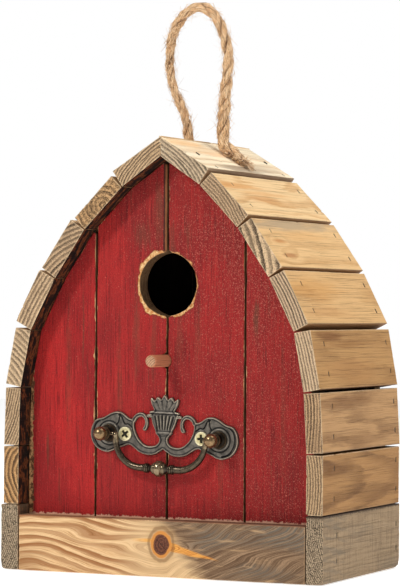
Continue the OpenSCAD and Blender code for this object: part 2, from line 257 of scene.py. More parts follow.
def marching(sdf, x0, x1, z0, z1, h, level):
    """Mesh of the region sdf > level on a square grid: points, faces, directed boundary edges."""
    nx = int(math.ceil((x1 - x0) / h)) + 3
    nz = int(math.ceil((z1 - z0) / h)) + 3
    xs = x0 - h + h * np.arange(nx)
    zs = z0 - h + h * np.arange(nz)
    gx, gz = np.meshgrid(xs, zs, indexing="ij")
    val = sdf(np.stack([gx.ravel(), gz.ravel()], 1)).reshape(nx, nz) - level
    val = np.where(np.abs(val) < 1e-4, 1e-4, val)
    ins = val > 0
    vid = -np.ones((nx, nz), np.int64)
    vid[ins] = np.arange(ins.sum())
    pts = [np.stack([gx[ins], gz[ins]], 1)]
    count = int(ins.sum())
    full = ins[:-1, :-1] & ins[1:, :-1] & ins[1:, 1:] & ins[:-1, 1:]
    i, j = np.nonzero(full)
    faces = np.stack([vid[i, j], vid[i + 1, j], vid[i + 1, j + 1], vid[i, j + 1]], 1).tolist()
    cross = {}
    extra = []

    def edge(i0, j0, i1, j1):
        key = (i0, j0, i1, j1) if (i0, j0) < (i1, j1) else (i1, j1, i0, j0)
        k = cross.get(key)
        if k is None:
            va, vb = val[i0, j0], val[i1, j1]
            t = va / (va - vb)
            t = min(max(t, 0.02), 0.98)
            extra.append((gx[i0, j0] + t * (gx[i1, j1] - gx[i0, j0]), gz[i0, j0] + t * (gz[i1, j1] - gz[i0, j0])))
            k = cross[key] = count + len(extra) - 1
        return k

    bnd = []
    part = (ins[:-1, :-1] | ins[1:, :-1] | ins[1:, 1:] | ins[:-1, 1:]) & ~full
    for i, j in zip(*np.nonzero(part)):
        ring = [(i, j), (i + 1, j), (i + 1, j + 1), (i, j + 1)]
        inside = [bool(ins[c]) for c in ring]
        if inside in ([True, False, True, False], [False, True, False, True]):
            # two corners: one small face at each
            for k in range(4):
                if inside[k]:
                    prev_, next_ = ring[k - 1], ring[(k + 1) % 4]
                    e_in = edge(*prev_, *ring[k])
                    e_out = edge(*ring[k], *next_)
                    faces.append([e_in, int(vid[ring[k]]), e_out])
                    bnd.append((e_out, e_in))
            continue
        poly = []
        for k in range(4):
            c, d = ring[k], ring[(k + 1) % 4]
            if inside[k]:
                poly.append(int(vid[c]))
            if inside[k] != inside[(k + 1) % 4]:
                poly.append(edge(*c, *d))
        es = [q for q in poly if q >= count]
        faces.append(poly)
        if len(es) == 2:
            a, b = poly.index(es[0]), poly.index(es[1])
            if (a + 1) % len(poly) == b:
                bnd.append((es[0], es[1]))
            else:
                bnd.append((es[1], es[0]))
    if extra:
        pts.append(np.array(extra))
    return np.concatenate(pts), faces, bnd


def slab(sdf, bounds2, h, inset, rings, front, back, wall, level_noise=None):
    """A flat piece: the region sdf > 0. front(p, d) and back(p, d) give depths w for plan points p at distance d inside
    the edge. rings: distances of the edge rows, largest first, last 0. wall: fractions of depth down the sides.
    Returns local points (x, z, w), faces, d."""
    p, faces, bnd = marching(sdf, *bounds2, h, inset)
    n = len(p)
    used = sorted({k for e in bnd for k in e})
    pos = {k: i for i, k in enumerate(used)}
    cur = p[used]

    def grad(q):
        e = 0.05
        gx = (sdf(q + [e, 0]) - sdf(q - [e, 0])) / (2 * e)
        gz = (sdf(q + [0, e]) - sdf(q - [0, e])) / (2 * e)
        g = np.stack([gx, gz], 1)
        return g / np.maximum(np.linalg.norm(g, axis=1, keepdims=True), 1e-6)

    layers = [p]
    dist = [sdf(p)]
    ids = [np.array(used)]
    base = n
    for lv in rings:
        for _ in range(2):
            g = grad(cur)
            cur = cur + g * np.clip(lv - sdf(cur), -0.8, 0.8)[:, None]
        layers.append(cur.copy())
        dist.append(np.full(len(cur), lv))
        ids.append(base + np.arange(len(cur)))
        base += len(cur)
    plan = np.concatenate(layers)
    dd = np.concatenate(dist)
    top_faces = [list(f) for f in faces]
    for a, b in zip(ids[:-1], ids[1:]):
        for s, t in bnd:
            i, j = pos[s], pos[t]
            top_faces.append([a[j], a[i], b[i], b[j]])
    nt = len(plan)
    wf = front(plan, dd)
    wb = back(plan, dd)
    verts = [np.column_stack([plan, wf]), np.column_stack([plan, wb])]
    out = top_faces + [[q + nt for q in f[::-1]] for f in top_faces]
    rim = ids[-1]
    prev_ = rim
    base = 2 * nt
    ed = [dd, dd]
    for fr in wall:
        w = wf[rim] + (wb[rim] - wf[rim]) * fr
        verts.append(np.column_stack([plan[rim], w]))
        ed.append(np.zeros(len(rim)))
        cur_ids = base + np.arange(len(rim))
        base += len(rim)
        for s, t in bnd:
            i, j = pos[s], pos[t]
            out.append([prev_[j], prev_[i], cur_ids[i], cur_ids[j]])
        prev_ = cur_ids
    last = rim + nt
    for s, t in bnd:
        i, j = pos[s], pos[t]
        out.append([prev_[j], prev_[i], last[i], last[j]])
    return np.concatenate(verts), out, np.concatenate(ed)


def lathe(profile, n, wobble=None):
    """Turned piece about the local w axis: profile is (radius, w) pairs from one pole to the other."""
    prof = np.array(profile, float)
    th = np.linspace(0, 2 * np.pi, n, endpoint=False)
    verts, faces = [], []
    for r, w in prof[1:-1]:
        verts.append(np.stack([r * np.cos(th), r * np.sin(th), np.full(n, w)], 1))
    v = np.concatenate(verts)
    m = len(prof) - 2
    for k in range(m - 1):
        for i in range(n):
            j = (i + 1) % n
            faces.append([k * n + i, k * n + j, (k + 1) * n + j, (k + 1) * n + i])
    v = np.concatenate([v, [[0, 0, prof[0][1]], [0, 0, prof[-1][1]]]])
    a, b = m * n, m * n + 1
    for i in range(n):
        j = (i + 1) % n
        faces.append([a, j, i])
        faces.append([b, (m - 1) * n + i, (m - 1) * n + j])
    return v, faces


def tube(path, radii, sides, up=None, twist=0.0, lobes=0, lobe_amp=0.0):
    """Swept tube with closed ends along path (n, 3), radius per point."""
    path = np.asarray(path, float)
    n = len(path)
    t = np.gradient(path, axis=0)
    t /= np.maximum(np.linalg.norm(t, axis=1, keepdims=True), 1e-9)
    u = np.cross(t[0], [0.0, 1.0, 0.0] if up is None else up)
    if np.linalg.norm(u) < 1e-3:
        u = np.cross(t[0], [1.0, 0, 0])
    u /= np.linalg.norm(u)
    us = [u]
    for i in range(1, n):
        w = us[-1] - t[i] * np.dot(us[-1], t[i])
        us.append(w / np.linalg.norm(w))
    us = np.array(us)
    vs = np.cross(t, us)
    th = np.linspace(0, 2 * np.pi, sides, endpoint=False)
    seg = np.concatenate([[0], np.cumsum(np.linalg.norm(np.diff(path, axis=0), axis=1))])
    verts = []
    for i in range(n):
        r = radii[i] * (1 + lobe_amp * np.cos(lobes * (th + twist * seg[i])))
        verts.append(path[i] + (r * np.cos(th))[:, None] * us[i] + (r * np.sin(th))[:, None] * vs[i])
    v = np.concatenate(verts)
    faces = []
    for k in range(n - 1):
        for i in range(sides):
            j = (i + 1) % sides
            faces.append([k * sides + i, k * sides + j, (k + 1) * sides + j, (k + 1) * sides + i])
    c0, c1 = len(v), len(v) + 1
    v = np.concatenate([v, path[:1], path[-1:]])
    for i in range(sides):
        j = (i + 1) % sides
        faces.append([c0, j, i])
        faces.append([c1, (n - 1) * sides + i, (n - 1) * sides + j])
    return v, faces


def join(parts):
    verts, faces, n = [], [], 0
    for v, f in parts:
        verts.append(v)
        faces += [[int(q) + n for q in g] for g in f]
        n += len(v)
    return np.concatenate(verts), faces


# ---------------------------------------------------------------- material helpers

def srgb(r, g, b):
    def f(c):
        c = c / 255.0
        return c / 12.92 if c <= 0.04045 else ((c + 0.055) / 1.055) ** 2.4
    return (f(r), f(g), f(b), 1.0)


class Mat:
    def __init__(self, name):
        self.m = bpy.data.materials.new(name)
        self.m.use_nodes = True
        self.nt = self.m.node_tree
        self.nt.nodes.clear()
        self.out = self.nt.nodes.new("ShaderNodeOutputMaterial")
        self.b = self.nt.nodes.new("ShaderNodeBsdfPrincipled")
        self.nt.links.new(self.b.outputs["BSDF"], self.out.inputs["Surface"])

    def put(self, socket, value):
        if isinstance(value, bpy.types.NodeSocket):
            self.nt.links.new(value, socket)
        else:
            if socket.type == "RGBA" and len(value) == 3:
                value = (*value, 1.0)
            socket.default_value = value

    def node(self, kind, **kw):
        n = self.nt.nodes.new(kind)
        for k, v in kw.items():
            setattr(n, k, v)
        return n

    def attr(self, name):
        n = self.node("ShaderNodeAttribute", attribute_name=name)
        return n

    def math(self, op, a, b=None, c=None, clamp=False):
        n = self.node("ShaderNodeMath", operation=op, use_clamp=clamp)
        self.put(n.inputs[0], a)
        if b is not None:
            self.put(n.inputs[1], b)
        if c is not None:
            self.put(n.inputs[2], c)
        return n.outputs[0]

    def vm(self, op, a, b=None, out="Vector"):
        n = self.node("ShaderNodeVectorMath", operation=op)
        self.put(n.inputs[0], a)
        if b is not None:
            if op == "SCALE":
                self.put(n.inputs["Scale"], b)
            else:
                self.put(n.inputs[1], b)
        return n.outputs[out]

    def noise(self, vec, scale=1.0, detail=2.0, rough=0.5, dist=0.0, color=False, w=None):
        n = self.node("ShaderNodeTexNoise")
        if w is not None:
            n.noise_dimensions = "4D"
            n.inputs["W"].default_value = w
        self.put(n.inputs["Vector"], vec)
        n.inputs["Scale"].default_value = scale
        n.inputs["Detail"].default_value = detail
        n.inputs["Roughness"].default_value = rough
        n.inputs["Distortion"].default_value = dist
        return n.outputs["Color" if color else "Fac"]

    def step(self, x, a, b, c=0.0, d=1.0):
        n = self.node("ShaderNodeMapRange", interpolation_type="SMOOTHSTEP")
        self.put(n.inputs["Value"], x)
        n.inputs["From Min"].default_value = a
        n.inputs["From Max"].default_value = b
        n.inputs["To Min"].default_value = c
        n.inputs["To Max"].default_value = d
        return n.outputs["Result"]

    def lin(self, x, a, b, c=0.0, d=1.0):
        n = self.node("ShaderNodeMapRange", interpolation_type="LINEAR", clamp=True)
        self.put(n.inputs["Value"], x)
        n.inputs["From Min"].default_value = a
        n.inputs["From Max"].default_value = b
        n.inputs["To Min"].default_value = c
        n.inputs["To Max"].default_value = d
        return n.outputs["Result"]

    def ramp(self, fac, stops, interp="LINEAR"):
        n = self.node("ShaderNodeValToRGB")
        cr = n.color_ramp
        cr.interpolation = interp
        while len(cr.elements) < len(stops):
            cr.elements.new(0.5)
        for e, (p, c) in zip(cr.elements, stops):
            e.position = p
            e.color = c if hasattr(c, "__len__") else (c, c, c, 1)
        self.put(n.inputs["Fac"], fac)
        return n.outputs["Color"]

    def mix(self, fac, a, b, blend="MIX"):
        n = self.node("ShaderNodeMix", data_type="RGBA", blend_type=blend)
        self.put(n.inputs["Factor"], fac)
        self.put(n.inputs["A"] if False else n.inputs[6], a)
        self.put(n.inputs[7], b)
        return n.outputs[2]

    def bump(self, height, dist_mm=0.2, strength=0.6, normal=None):
        n = self.node("ShaderNodeBump")
        n.inputs["Strength"].default_value = strength
        n.inputs["Distance"].default_value = dist_mm / 1000.0
        self.put(n.inputs["Height"], height)
        if normal is not None:
            self.put(n.inputs["Normal"], normal)
        return n.outputs["Normal"]


# ---------------------------------------------------------------- wood

def wood(name, grain=(0, 1, 0), pith=(18, 60), spacing=2.0, warp=3.0, tilt=0.0, long_a=(236, 198, 148), long_b=(206, 150, 92),
         end_a=(226, 198, 166), end_b=(112, 80, 54), end_contrast=1.0, long_contrast=0.6, patches=(), knots=(), streak=0.35,
         grey=0.0, grey_col=(150, 132, 108), seed=0.0, edge_light=0.4, edge_col=(240, 214, 176), charred=None, rough=0.72,
         speckle=0.5, profile=None, dark_edge=None, saw=None, inner_face_shade=None, lines_=0.7, waves=None, end_gain=(0.80, 0.22), low_edge=0.0):
    """Sawn softwood. Rings about a pith line in the (v, w) plane, so end arcs and long grain agree."""
    M = Mat(name)
    P = M.attr("bp").outputs["Vector"]
    sep = M.node("ShaderNodeSeparateXYZ")
    M.put(sep.inputs[0], P)
    v, u, w = sep.outputs
    Ps = M.vm("ADD", P, (seed * 7.3, seed * 91.0, seed * 3.1))
    wn = M.noise(M.vm("MULTIPLY", Ps, (0.035, 0.011, 0.035)), 1.0, 2.0, 0.5, color=True)
    wn = M.vm("SCALE", M.vm("SUBTRACT", wn, (0.5, 0.5, 0.5)), warp * 2.0)
    wn2 = M.noise(M.vm("MULTIPLY", Ps, (0.22, 0.035, 0.22)), 1.0, 2.0, 0.5, color=True)
    wn2 = M.vm("SCALE", M.vm("SUBTRACT", wn2, (0.5, 0.5, 0.5)), warp * 0.32)
    Pw = M.vm("ADD", M.vm("ADD", P, wn), wn2)
    rel = M.vm("MULTIPLY", M.vm("SUBTRACT", Pw, (pith[0], 0, pith[1])), (1, 0, 1))
    d = M.vm("LENGTH", rel, out="Value")
    if tilt:
        d = M.math("MULTIPLY_ADD", u, tilt, d)
    cores = []
    for (kv, ku, kr, amp) in knots:
        core = kr > 0
        kr = abs(kr)
        kx = M.math("DIVIDE", M.math("SUBTRACT", v, kv), kr * 1.5)
        ky = M.math("DIVIDE", M.math("SUBTRACT", u, ku), kr * 3.6)
        g = M.math("ADD", M.math("MULTIPLY", kx, kx), M.math("MULTIPLY", ky, ky))
        e = M.math("POWER", 2.718, M.math("MULTIPLY", g, -1.0))
        d = M.math("MULTIPLY_ADD", e, amp, d)
        rr = M.vm("LENGTH", M.vm("MULTIPLY", M.vm("SUBTRACT", M.vm("ADD", P, M.vm("SCALE", wn2, 1.5)), (kv, ku, 0)), (1.0, 0.62, 0)), out="Value")
        if core:
            cores.append((rr, kr))
    phase = M.math("DIVIDE", d, spacing)
    phase = M.math("ADD", phase, M.math("MULTIPLY", M.noise(M.vm("MULTIPLY", Ps, (0.5, 0.03, 0.5)), 1.0, 2.0), 0.35))
    t = M.math("FRACT", phase)
    prof = M.ramp(t, profile or [(0.0, 0.0), (0.42, 0.10), (0.74, 0.86), (0.88, 1.0), (1.0, 0.0)])
    wt = M.node("ShaderNodeTexWhiteNoise", noise_dimensions="1D")
    M.put(wt.inputs["W"], M.math("FLOOR", phase))
    ring = M.math("MULTIPLY", prof, M.lin(wt.outputs["Value"], 0, 1, 0.6, 1.0))
    fibre = M.noise(M.vm("MULTIPLY", Ps, (1.9, 0.035, 1.9)), 1.0, 3.0, 0.62)
    fine = M.noise(M.vm("MULTIPLY", Ps, (4.2, 0.16, 4.2)), 1.0, 2.0, 0.6)
    pores = M.noise(M.vm("MULTIPLY", Ps, (1.5, 1.5, 1.5)), 1.0, 3.0, 0.7)
    blot = M.noise(M.vm("MULTIPLY", Ps, (0.055, 0.018, 0.055)), 1.0, 3.0, 0.55)

    def c(k, f=1.0):
        q = srgb(*k)
        return (q[0] * f, q[1] * f, q[2] * f, 1.0)

    hair = M.noise(M.vm("MULTIPLY", Ps, (3.4, 0.012, 3.4)), 1.0, 2.0, 0.55)

    # long faces
    late = M.math("MULTIPLY", ring, min(1.0, long_contrast * 1.7))
    late = M.math("MULTIPLY", late, M.step(blot, 0.3, 0.62, 0.55, 1.0))
    col = M.mix(late, c(long_a), c(long_b, 0.82))
    col = M.mix(M.step(fibre, 0.5, 0.78, 0.0, streak), col, c([x * 0.72 for x in long_b]))
    col = M.mix(M.step(fine, 0.5, 0.25, 0.0, 0.42), col, c([min(255, x * 1.06) for x in long_a]))
    # thin dark lines of the grain
    hm = M.math("MULTIPLY", M.step(hair, 0.56, 0.68), M.step(fibre, 0.36, 0.6, 0.25, 1.0))
    col = M.mix(M.math("MULTIPLY", hm, lines_), col, c(long_b, 0.34))
    if saw:
        # saw marks across the grain
        sw = M.noise(M.vm("MULTIPLY", Ps, (0.05, saw[1], 0.05)), 1.0, 2.0, 0.6)
        sw2 = M.noise(M.vm("MULTIPLY", Ps, (0.9, saw[1] * 1.7, 0.9)), 1.0, 2.0, 0.6)
        sl = M.math("ADD", M.math("MULTIPLY", sw, 0.65), M.math("MULTIPLY", sw2, 0.35))
        col = M.mix(M.step(sl, 0.5, 0.62, 0.0, saw[0]), col, c(long_b, 0.42))
        col = M.mix(M.step(sl, 0.48, 0.38, 0.0, saw[0] * 0.7), col, c(long_a, 1.25))
    if waves:
        # bluish wavy marks near the front end
        wz = M.math("SINE", M.math("ADD", M.math("MULTIPLY", v, 0.95), M.math("ADD", M.math("MULTIPLY", u, 0.16), M.math("MULTIPLY", M.noise(M.vm("MULTIPLY", Ps, (0.12, 0.07, 0.12)), 1.0, 2.0, 0.5), 9.0))))
        wmask = M.math("MULTIPLY", M.step(wz, 0.3, 0.9), M.step(u, waves[1], waves[1] * 0.6, 0.0, waves[0]))
        col = M.mix(M.math("MULTIPLY", wmask, M.step(blot, 0.36, 0.5, 0.3, 1.0)), col, srgb(92, 90, 84))
    for k, (pv, pu, sv, su, strength, pc) in enumerate(patches):
        # soft stain about (pv, pu), streaked along the grain
        q = M.vm("MULTIPLY", M.vm("SUBTRACT", Pw, (pv, pu, 0)), (1.0 / sv, 1.0 / su, 0))
        g = M.vm("LENGTH", q, out="Value")
        nn = M.noise(M.vm("MULTIPLY", Ps, (0.34, 0.03, 0.34)), 1.0, 3.0, 0.6, w=None)
        g = M.math("ADD", g, M.math("MULTIPLY", M.math("SUBTRACT", nn, 0.5), 1.5))
        col = M.mix(M.step(g, 1.1, 0.25, 0.0, strength), col, c(pc))
    for rr, kr in cores:
        ringk = M.math("SINE", M.math("MULTIPLY", rr, 3.2))
        kc = M.mix(M.lin(ringk, -1, 1), c((120, 66, 32)), c((84, 44, 24)))
        col = M.mix(M.step(rr, kr * 1.9, kr * 1.05, 0.0, 0.7), col, c((196, 124, 60)))
        col = M.mix(M.step(rr, kr * 1.02, kr * 0.86), col, kc)
    if grey:
        gm = M.step(M.math("ADD", blot, M.math("MULTIPLY", M.math("SUBTRACT", fibre, 0.5), 0.5)), 0.62 - grey * 0.45, 0.9 - grey * 0.45)
        col = M.mix(M.math("MULTIPLY", gm, 0.85), col, c(grey_col))
    # end grain
    prof_e = M.ramp(t, profile or [(0.0, 0.0), (0.26, 0.08), (0.5, 0.78), (0.84, 1.0), (1.0, 0.0)])
    ring_e = M.math("MULTIPLY", prof_e, M.lin(wt.outputs["Value"], 0, 1, 0.62, 1.0))
    rays = M.noise(M.vm("MULTIPLY", Ps, (2.4, 1.0, 2.4)), 1.0, 2.0, 0.6)
    ring_e = M.math("ADD", ring_e, M.math("MULTIPLY", M.math("SUBTRACT", rays, 0.5), 0.9), clamp=True)
    em = M.math("MULTIPLY", ring_e, min(1.0, end_contrast * 1.2))
    ecol = M.mix(em, c(end_a, end_gain[0]), c(end_b, end_gain[1]))
    ecol = M.mix(M.step(pores, 0.5, 0.6, 0.0, speckle), ecol, c(end_b, 0.15))
    ecol = M.mix(M.step(pores, 0.44, 0.32, 0.0, speckle * 0.8), ecol, c(end_a, 0.95))
    ecol = M.mix(M.step(blot, 0.5, 0.72, 0.0, 0.3), ecol, c([(a + b) / 2 * 0.8 for a, b in zip(end_a, end_b)]))
    geo = M.node("ShaderNodeNewGeometry")
    dot = M.math("ABSOLUTE", M.vm("DOT_PRODUCT", geo.outputs["Normal"], grain, out="Value"))
    endm = M.step(dot, 0.55, 0.8)
    col = M.mix(endm, col, ecol)
    # edges rubbed pale; painted shade along the lower joint and the dark strips follow
    ed = M.attr("ed").outputs["Fac"]
    en = M.math("ADD", ed, M.math("MULTIPLY", M.math("SUBTRACT", pores, 0.5), 2.2))
    col = M.mix(M.step(en, 0.9, 0.1, 0.0, edge_light), col, c(edge_col))
    # painted shade: the lower long edge of each slat, in the joint with the slat below, is painted dark brown
    if low_edge:
        le = M.math("ADD", v, M.math("MULTIPLY", M.math("SUBTRACT", pores, 0.5), 1.6))
        le = M.math("MULTIPLY", M.step(le, 0.8, 0.2, 0.0, low_edge), M.math("SUBTRACT", 1.0, endm))
        col = M.mix(le, col, c((106, 68, 38)))
    if dark_edge:
        # (axis, place, width, strength): scorched or dirty strip
        for ax, place_, width, strength in dark_edge:
            q = M.math("ABSOLUTE", M.math("SUBTRACT", (v, u, w)[ax], place_))
            q = M.math("ADD", q, M.math("MULTIPLY", M.math("SUBTRACT", pores, 0.5), width * 1.6))
            col = M.mix(M.step(q, width, width * 0.4, 0.0, strength), col, c((44, 26, 18)))
    if charred is not None:
        # inner face near the front: burnt, with orange-brown wood showing through
        depth_w, reach_u, amount = charred
        inner = M.math("MULTIPLY", M.step(w, depth_w - 0.9, depth_w - 0.4), M.step(u, reach_u + 8, reach_u))
        inner = M.math("MULTIPLY", inner, M.math("SUBTRACT", 1.0, endm))
        cn = M.noise(M.vm("MULTIPLY", Ps, (0.10, 0.26, 0.10)), 1.0, 3.0, 0.68)
        burnt = M.ramp(cn, [(0.40, srgb(14, 9, 7)), (0.5, srgb(36, 20, 12)), (0.57, srgb(124, 68, 34)), (0.63, srgb(58, 32, 18)), (0.72, srgb(18, 11, 8))])
        col = M.mix(M.math("MULTIPLY", inner, amount), col, burnt)
    if inner_face_shade:
        # painted shade: faces turned into the closed box are painted near-black
        sd = M.step(M.vm("DOT_PRODUCT", geo.outputs["Normal"], inner_face_shade[0], out="Value"), 0.3, 0.6)
        col = M.mix(M.math("MULTIPLY", sd, inner_face_shade[1]), col, M.mix(M.step(fibre, 0.4, 0.65), c((36, 26, 20)), c((22, 16, 12))))
    M.put(M.b.inputs["Base Color"], col)
    M.put(M.b.inputs["Roughness"], M.lin(fibre, 0.3, 0.7, rough - 0.08, rough + 0.12))
    M.b.inputs["Specular IOR Level"].default_value = 0.22
    hgt = M.math("ADD", M.math("MULTIPLY", ring, 0.35), M.math("MULTIPLY", fibre, 0.8))
    hgt = M.math("ADD", hgt, M.math("MULTIPLY", fine, 0.35))
    hgt = M.math("ADD", hgt, M.math("MULTIPLY", hm, -0.6))
    hgt_end = M.math("ADD", M.math("MULTIPLY", ring_e, 0.5), M.math("MULTIPLY", pores, 1.3))
    hmix = M.node("ShaderNodeMix", data_type="FLOAT")
    M.put(hmix.inputs[0], endm)
    M.put(hmix.inputs[2], hgt)
    M.put(hmix.inputs[3], hgt_end)
    M.put(M.b.inputs["Normal"], M.bump(hmix.outputs[0], 0.42, 0.85))
    return M.m


# ---------------------------------------------------------------- paint

def paint(name, grain_seed=0.0, streaks=()):
    """Worn barn-red paint over pine; local coordinates are the house's own x, z and depth in mm."""
    M = Mat(name)
    P = M.attr("bp").outputs["Vector"]
    sep = M.node("ShaderNodeSeparateXYZ")
    M.put(sep.inputs[0], P)
    x, z, w = sep.outputs
    Ps = M.vm("ADD", P, (grain_seed * 13.7, grain_seed * 57.0, 0))
    fibre = M.noise(M.vm("MULTIPLY", Ps, (1.35, 0.04, 1.35)), 1.0, 3.0, 0.6)
    wide = M.noise(M.vm("MULTIPLY", Ps, (0.3, 0.012, 0.3)), 1.0, 3.0, 0.55)
    cloud = M.noise(M.vm("MULTIPLY", Ps, (0.03, 0.014, 0.03)), 1.0, 3.0, 0.5)
    dots = M.noise(M.vm("MULTIPLY", Ps, (1.5, 1.1, 1.5)), 1.0, 2.0, 0.6)
    grit = M.noise(M.vm("MULTIPLY", Ps, (2.6, 1.8, 2.6)), 1.0, 2.0, 0.6)
    col = M.mix(M.step(cloud, 0.35, 0.68), srgb(186, 38, 36), srgb(144, 28, 29))
    # right-hand planks are a little duller and darker
    col = M.mix(M.step(x, -56, -44, 0.0, 0.32), col, srgb(128, 34, 32))
    col = M.mix(M.step(x, 0, 90, 0.0, 0.3), col, srgb(130, 30, 29))
    # painted shade: darker towards the top, under the roof's overhang
    col = M.mix(M.step(M.math("SUBTRACT", z, M.math("MULTIPLY", M.math("ABSOLUTE", x), 0.5)), 196, 240, 0.0, 0.34), col, srgb(112, 28, 26))
    col = M.mix(M.step(z, 90, 20, 0.0, 0.22), col, srgb(134, 27, 28))
    col = M.mix(M.step(fibre, 0.52, 0.7, 0.0, 0.72), col, srgb(96, 16, 18))
    col = M.mix(M.step(fibre, 0.46, 0.3, 0.0, 0.45), col, srgb(206, 60, 52))
    col = M.mix(M.step(grit, 0.52, 0.63, 0.0, 0.62), col, srgb(90, 14, 16))
    # thin brown-green streaks where the paint has worn along the grain
    st = M.math("MULTIPLY", M.step(wide, 0.6, 0.72), M.step(cloud, 0.42, 0.6))
    col = M.mix(M.math("MULTIPLY", st, 0.5), col, srgb(98, 60, 42))
    for (sx, sz, wx, wz, strength) in streaks:
        q = M.vm("MULTIPLY", M.vm("SUBTRACT", P, (sx, sz, 0)), (1.0 / wx, 1.0 / wz, 0))
        g = M.math("ADD", M.vm("LENGTH", q, out="Value"), M.math("MULTIPLY", M.math("SUBTRACT", M.noise(M.vm("MULTIPLY", Ps, (0.55, 0.05, 0.55)), 1.0, 3.0, 0.6), 0.5), 2.2))
        col = M.mix(M.step(g, 1.0, 0.2, 0.0, strength), col, srgb(92, 62, 44))
    # pale specks: the tops of the grain with the paint gone
    dens = M.math("ADD", M.step(x, -60, 70, 0.0, 0.085), M.step(z, 60, 230, 0.0, 0.035))
    dens = M.math("ADD", dens, M.math("MULTIPLY", M.math("SUBTRACT", cloud, 0.5), 0.12))
    sp = M.step(M.math("ADD", dots, dens), 0.67, 0.73)
    col = M.mix(M.math("MULTIPLY", sp, M.step(grit, 0.35, 0.6, 0.25, 0.75)), col, srgb(214, 120, 104))
    sp2 = M.step(M.math("ADD", grit, dens), 0.765, 0.8)
    col = M.mix(M.math("MULTIPLY", sp2, 0.6), col, srgb(232, 170, 146))
    # bare wood tones
    bare = M.mix(M.step(fibre, 0.4, 0.65), srgb(228, 186, 134), srgb(168, 118, 72))
    bare_d = M.mix(M.step(fibre, 0.42, 0.62), srgb(128, 98, 68), srgb(74, 52, 36))
    # ragged worn ring round the entrance, heavier at three places
    rel = M.vm("MULTIPLY", M.vm("SUBTRACT", P, (-0.6, 181, 0)), (1, 1, 0))
    rad = M.vm("LENGTH", rel, out="Value")
    rn = M.noise(M.vm("MULTIPLY", P, (0.13, 0.13, 0)), 1.0, 2.0, 0.5)
    rn2 = M.noise(M.vm("MULTIPLY", P, (0.75, 0.42, 0.75)), 1.0, 3.0, 0.7)
    width = M.math("ADD", M.step(rn, 0.4, 0.66, 0.0, 1.5), M.math("MULTIPLY", M.math("SUBTRACT", rn2, 0.42), 3.4))
    for dx_, dz_, am_ in ((-0.64, 0.77, 1.9), (-0.72, -0.69, 1.8), (0.62, -0.78, 1.7)):
        dt = M.math("DIVIDE", M.vm("DOT_PRODUCT", rel, (dx_, dz_, 0), out="Value"), rad)
        width = M.math("ADD", width, M.step(dt, 0.86, 0.99, 0.0, am_))
    rm = M.step(M.math("SUBTRACT", M.math("SUBTRACT", rad, 19.6), width), 0.3, -0.3)
    halo = M.step(M.math("SUBTRACT", M.math("SUBTRACT", rad, 19.6), width), 1.8, 0.0, 0.0, 0.4)
    col = M.mix(halo, col, srgb(104, 44, 32))
    col = M.mix(rm, col, M.mix(M.step(rn2, 0.4, 0.6), srgb(238, 196, 138), srgb(196, 130, 72)))
    # seam edges, the line above the rail, and the sawn ends
    ed = M.attr("ed").outputs["Fac"]
    en = M.noise(M.vm("MULTIPLY", Ps, (0.5, 0.06, 0.5)), 1.0, 3.0, 0.6)
    en2 = M.noise(M.vm("MULTIPLY", Ps, (0.55, 0.32, 0.55)), 1.0, 3.0, 0.7)
    thr = M.math("ADD", M.step(en, 0.5, 0.66, 0.0, 0.55), M.math("MULTIPLY", M.math("SUBTRACT", en2, 0.52), 1.3))
    em = M.step(M.math("SUBTRACT", ed, thr), 0.2, -0.05, 0.0, 0.9)
    col = M.mix(em, col, bare)
    # the joint above the entrance: a dark strip along the gap is painted shade of the seam, with a tan worn line beside
    # the gap
    top_m = M.step(z, 198, 203)
    gx = M.math("ADD", M.math("ABSOLUTE", M.math("ADD", x, 1.9)), M.math("MULTIPLY", M.math("SUBTRACT", en2, 0.5), 0.9))
    col = M.mix(M.math("MULTIPLY", top_m, M.step(gx, 2.1, 1.6, 0.0, 0.9)), col, srgb(58, 30, 22))
    col = M.mix(M.math("MULTIPLY", top_m, M.step(gx, 0.75, 0.4, 0.0, 0.8)), col, srgb(150, 96, 58))
    # raw strip down the outer left edge
    zig = M.noise(M.vm("MULTIPLY", P, (0.3, 0.24, 0.3)), 1.0, 3.0, 0.65)
    raw = M.step(M.math("SUBTRACT", M.math("ADD", x, 98.4), M.math("MULTIPLY_ADD", M.math("SUBTRACT", zig, 0.5), 7.0, 3.5)), 0.35, -0.35)
    raw = M.math("MULTIPLY", raw, M.step(x, -88, -91))
    col = M.mix(raw, col, M.mix(M.step(zig, 0.42, 0.58), srgb(198, 148, 100), srgb(92, 56, 34)))
    bot = M.math("SUBTRACT", M.math("SUBTRACT", z, 35.3), M.math("MULTIPLY", M.math("SUBTRACT", en2, 0.4), 4.6))
    col = M.mix(M.step(bot, 0.4, -0.4, 0.0, 0.85), col, srgb(230, 180, 150))
    geo = M.node("ShaderNodeNewGeometry")
    ny = M.vm("DOT_PRODUCT", geo.outputs["Normal"], (0, -1, 0), out="Value")
    side = M.step(ny, 0.55, 0.2)
    col = M.mix(side, col, bare_d)
    M.put(M.b.inputs["Base Color"], col)
    M.put(M.b.inputs["Roughness"], M.lin(dots, 0.3, 0.7, 0.48, 0.72))
    M.b.inputs["Specular IOR Level"].default_value = 0.2
    h = M.math("ADD", M.math("MULTIPLY", fibre, 1.0), M.math("MULTIPLY", grit, 0.9))
    h = M.math("ADD", h, M.math("MULTIPLY", sp, 0.5))
    h = M.math("ADD", h, M.math("MULTIPLY", rm, -0.8))
    h = M.math("ADD", h, M.math("MULTIPLY", dots, M.step(x, -60, 60, 0.7, 2.3)))
    M.put(M.b.inputs["Normal"], M.bump(h, 0.4, 0.9))
    return M.m


# ---------------------------------------------------------------- metal and rope

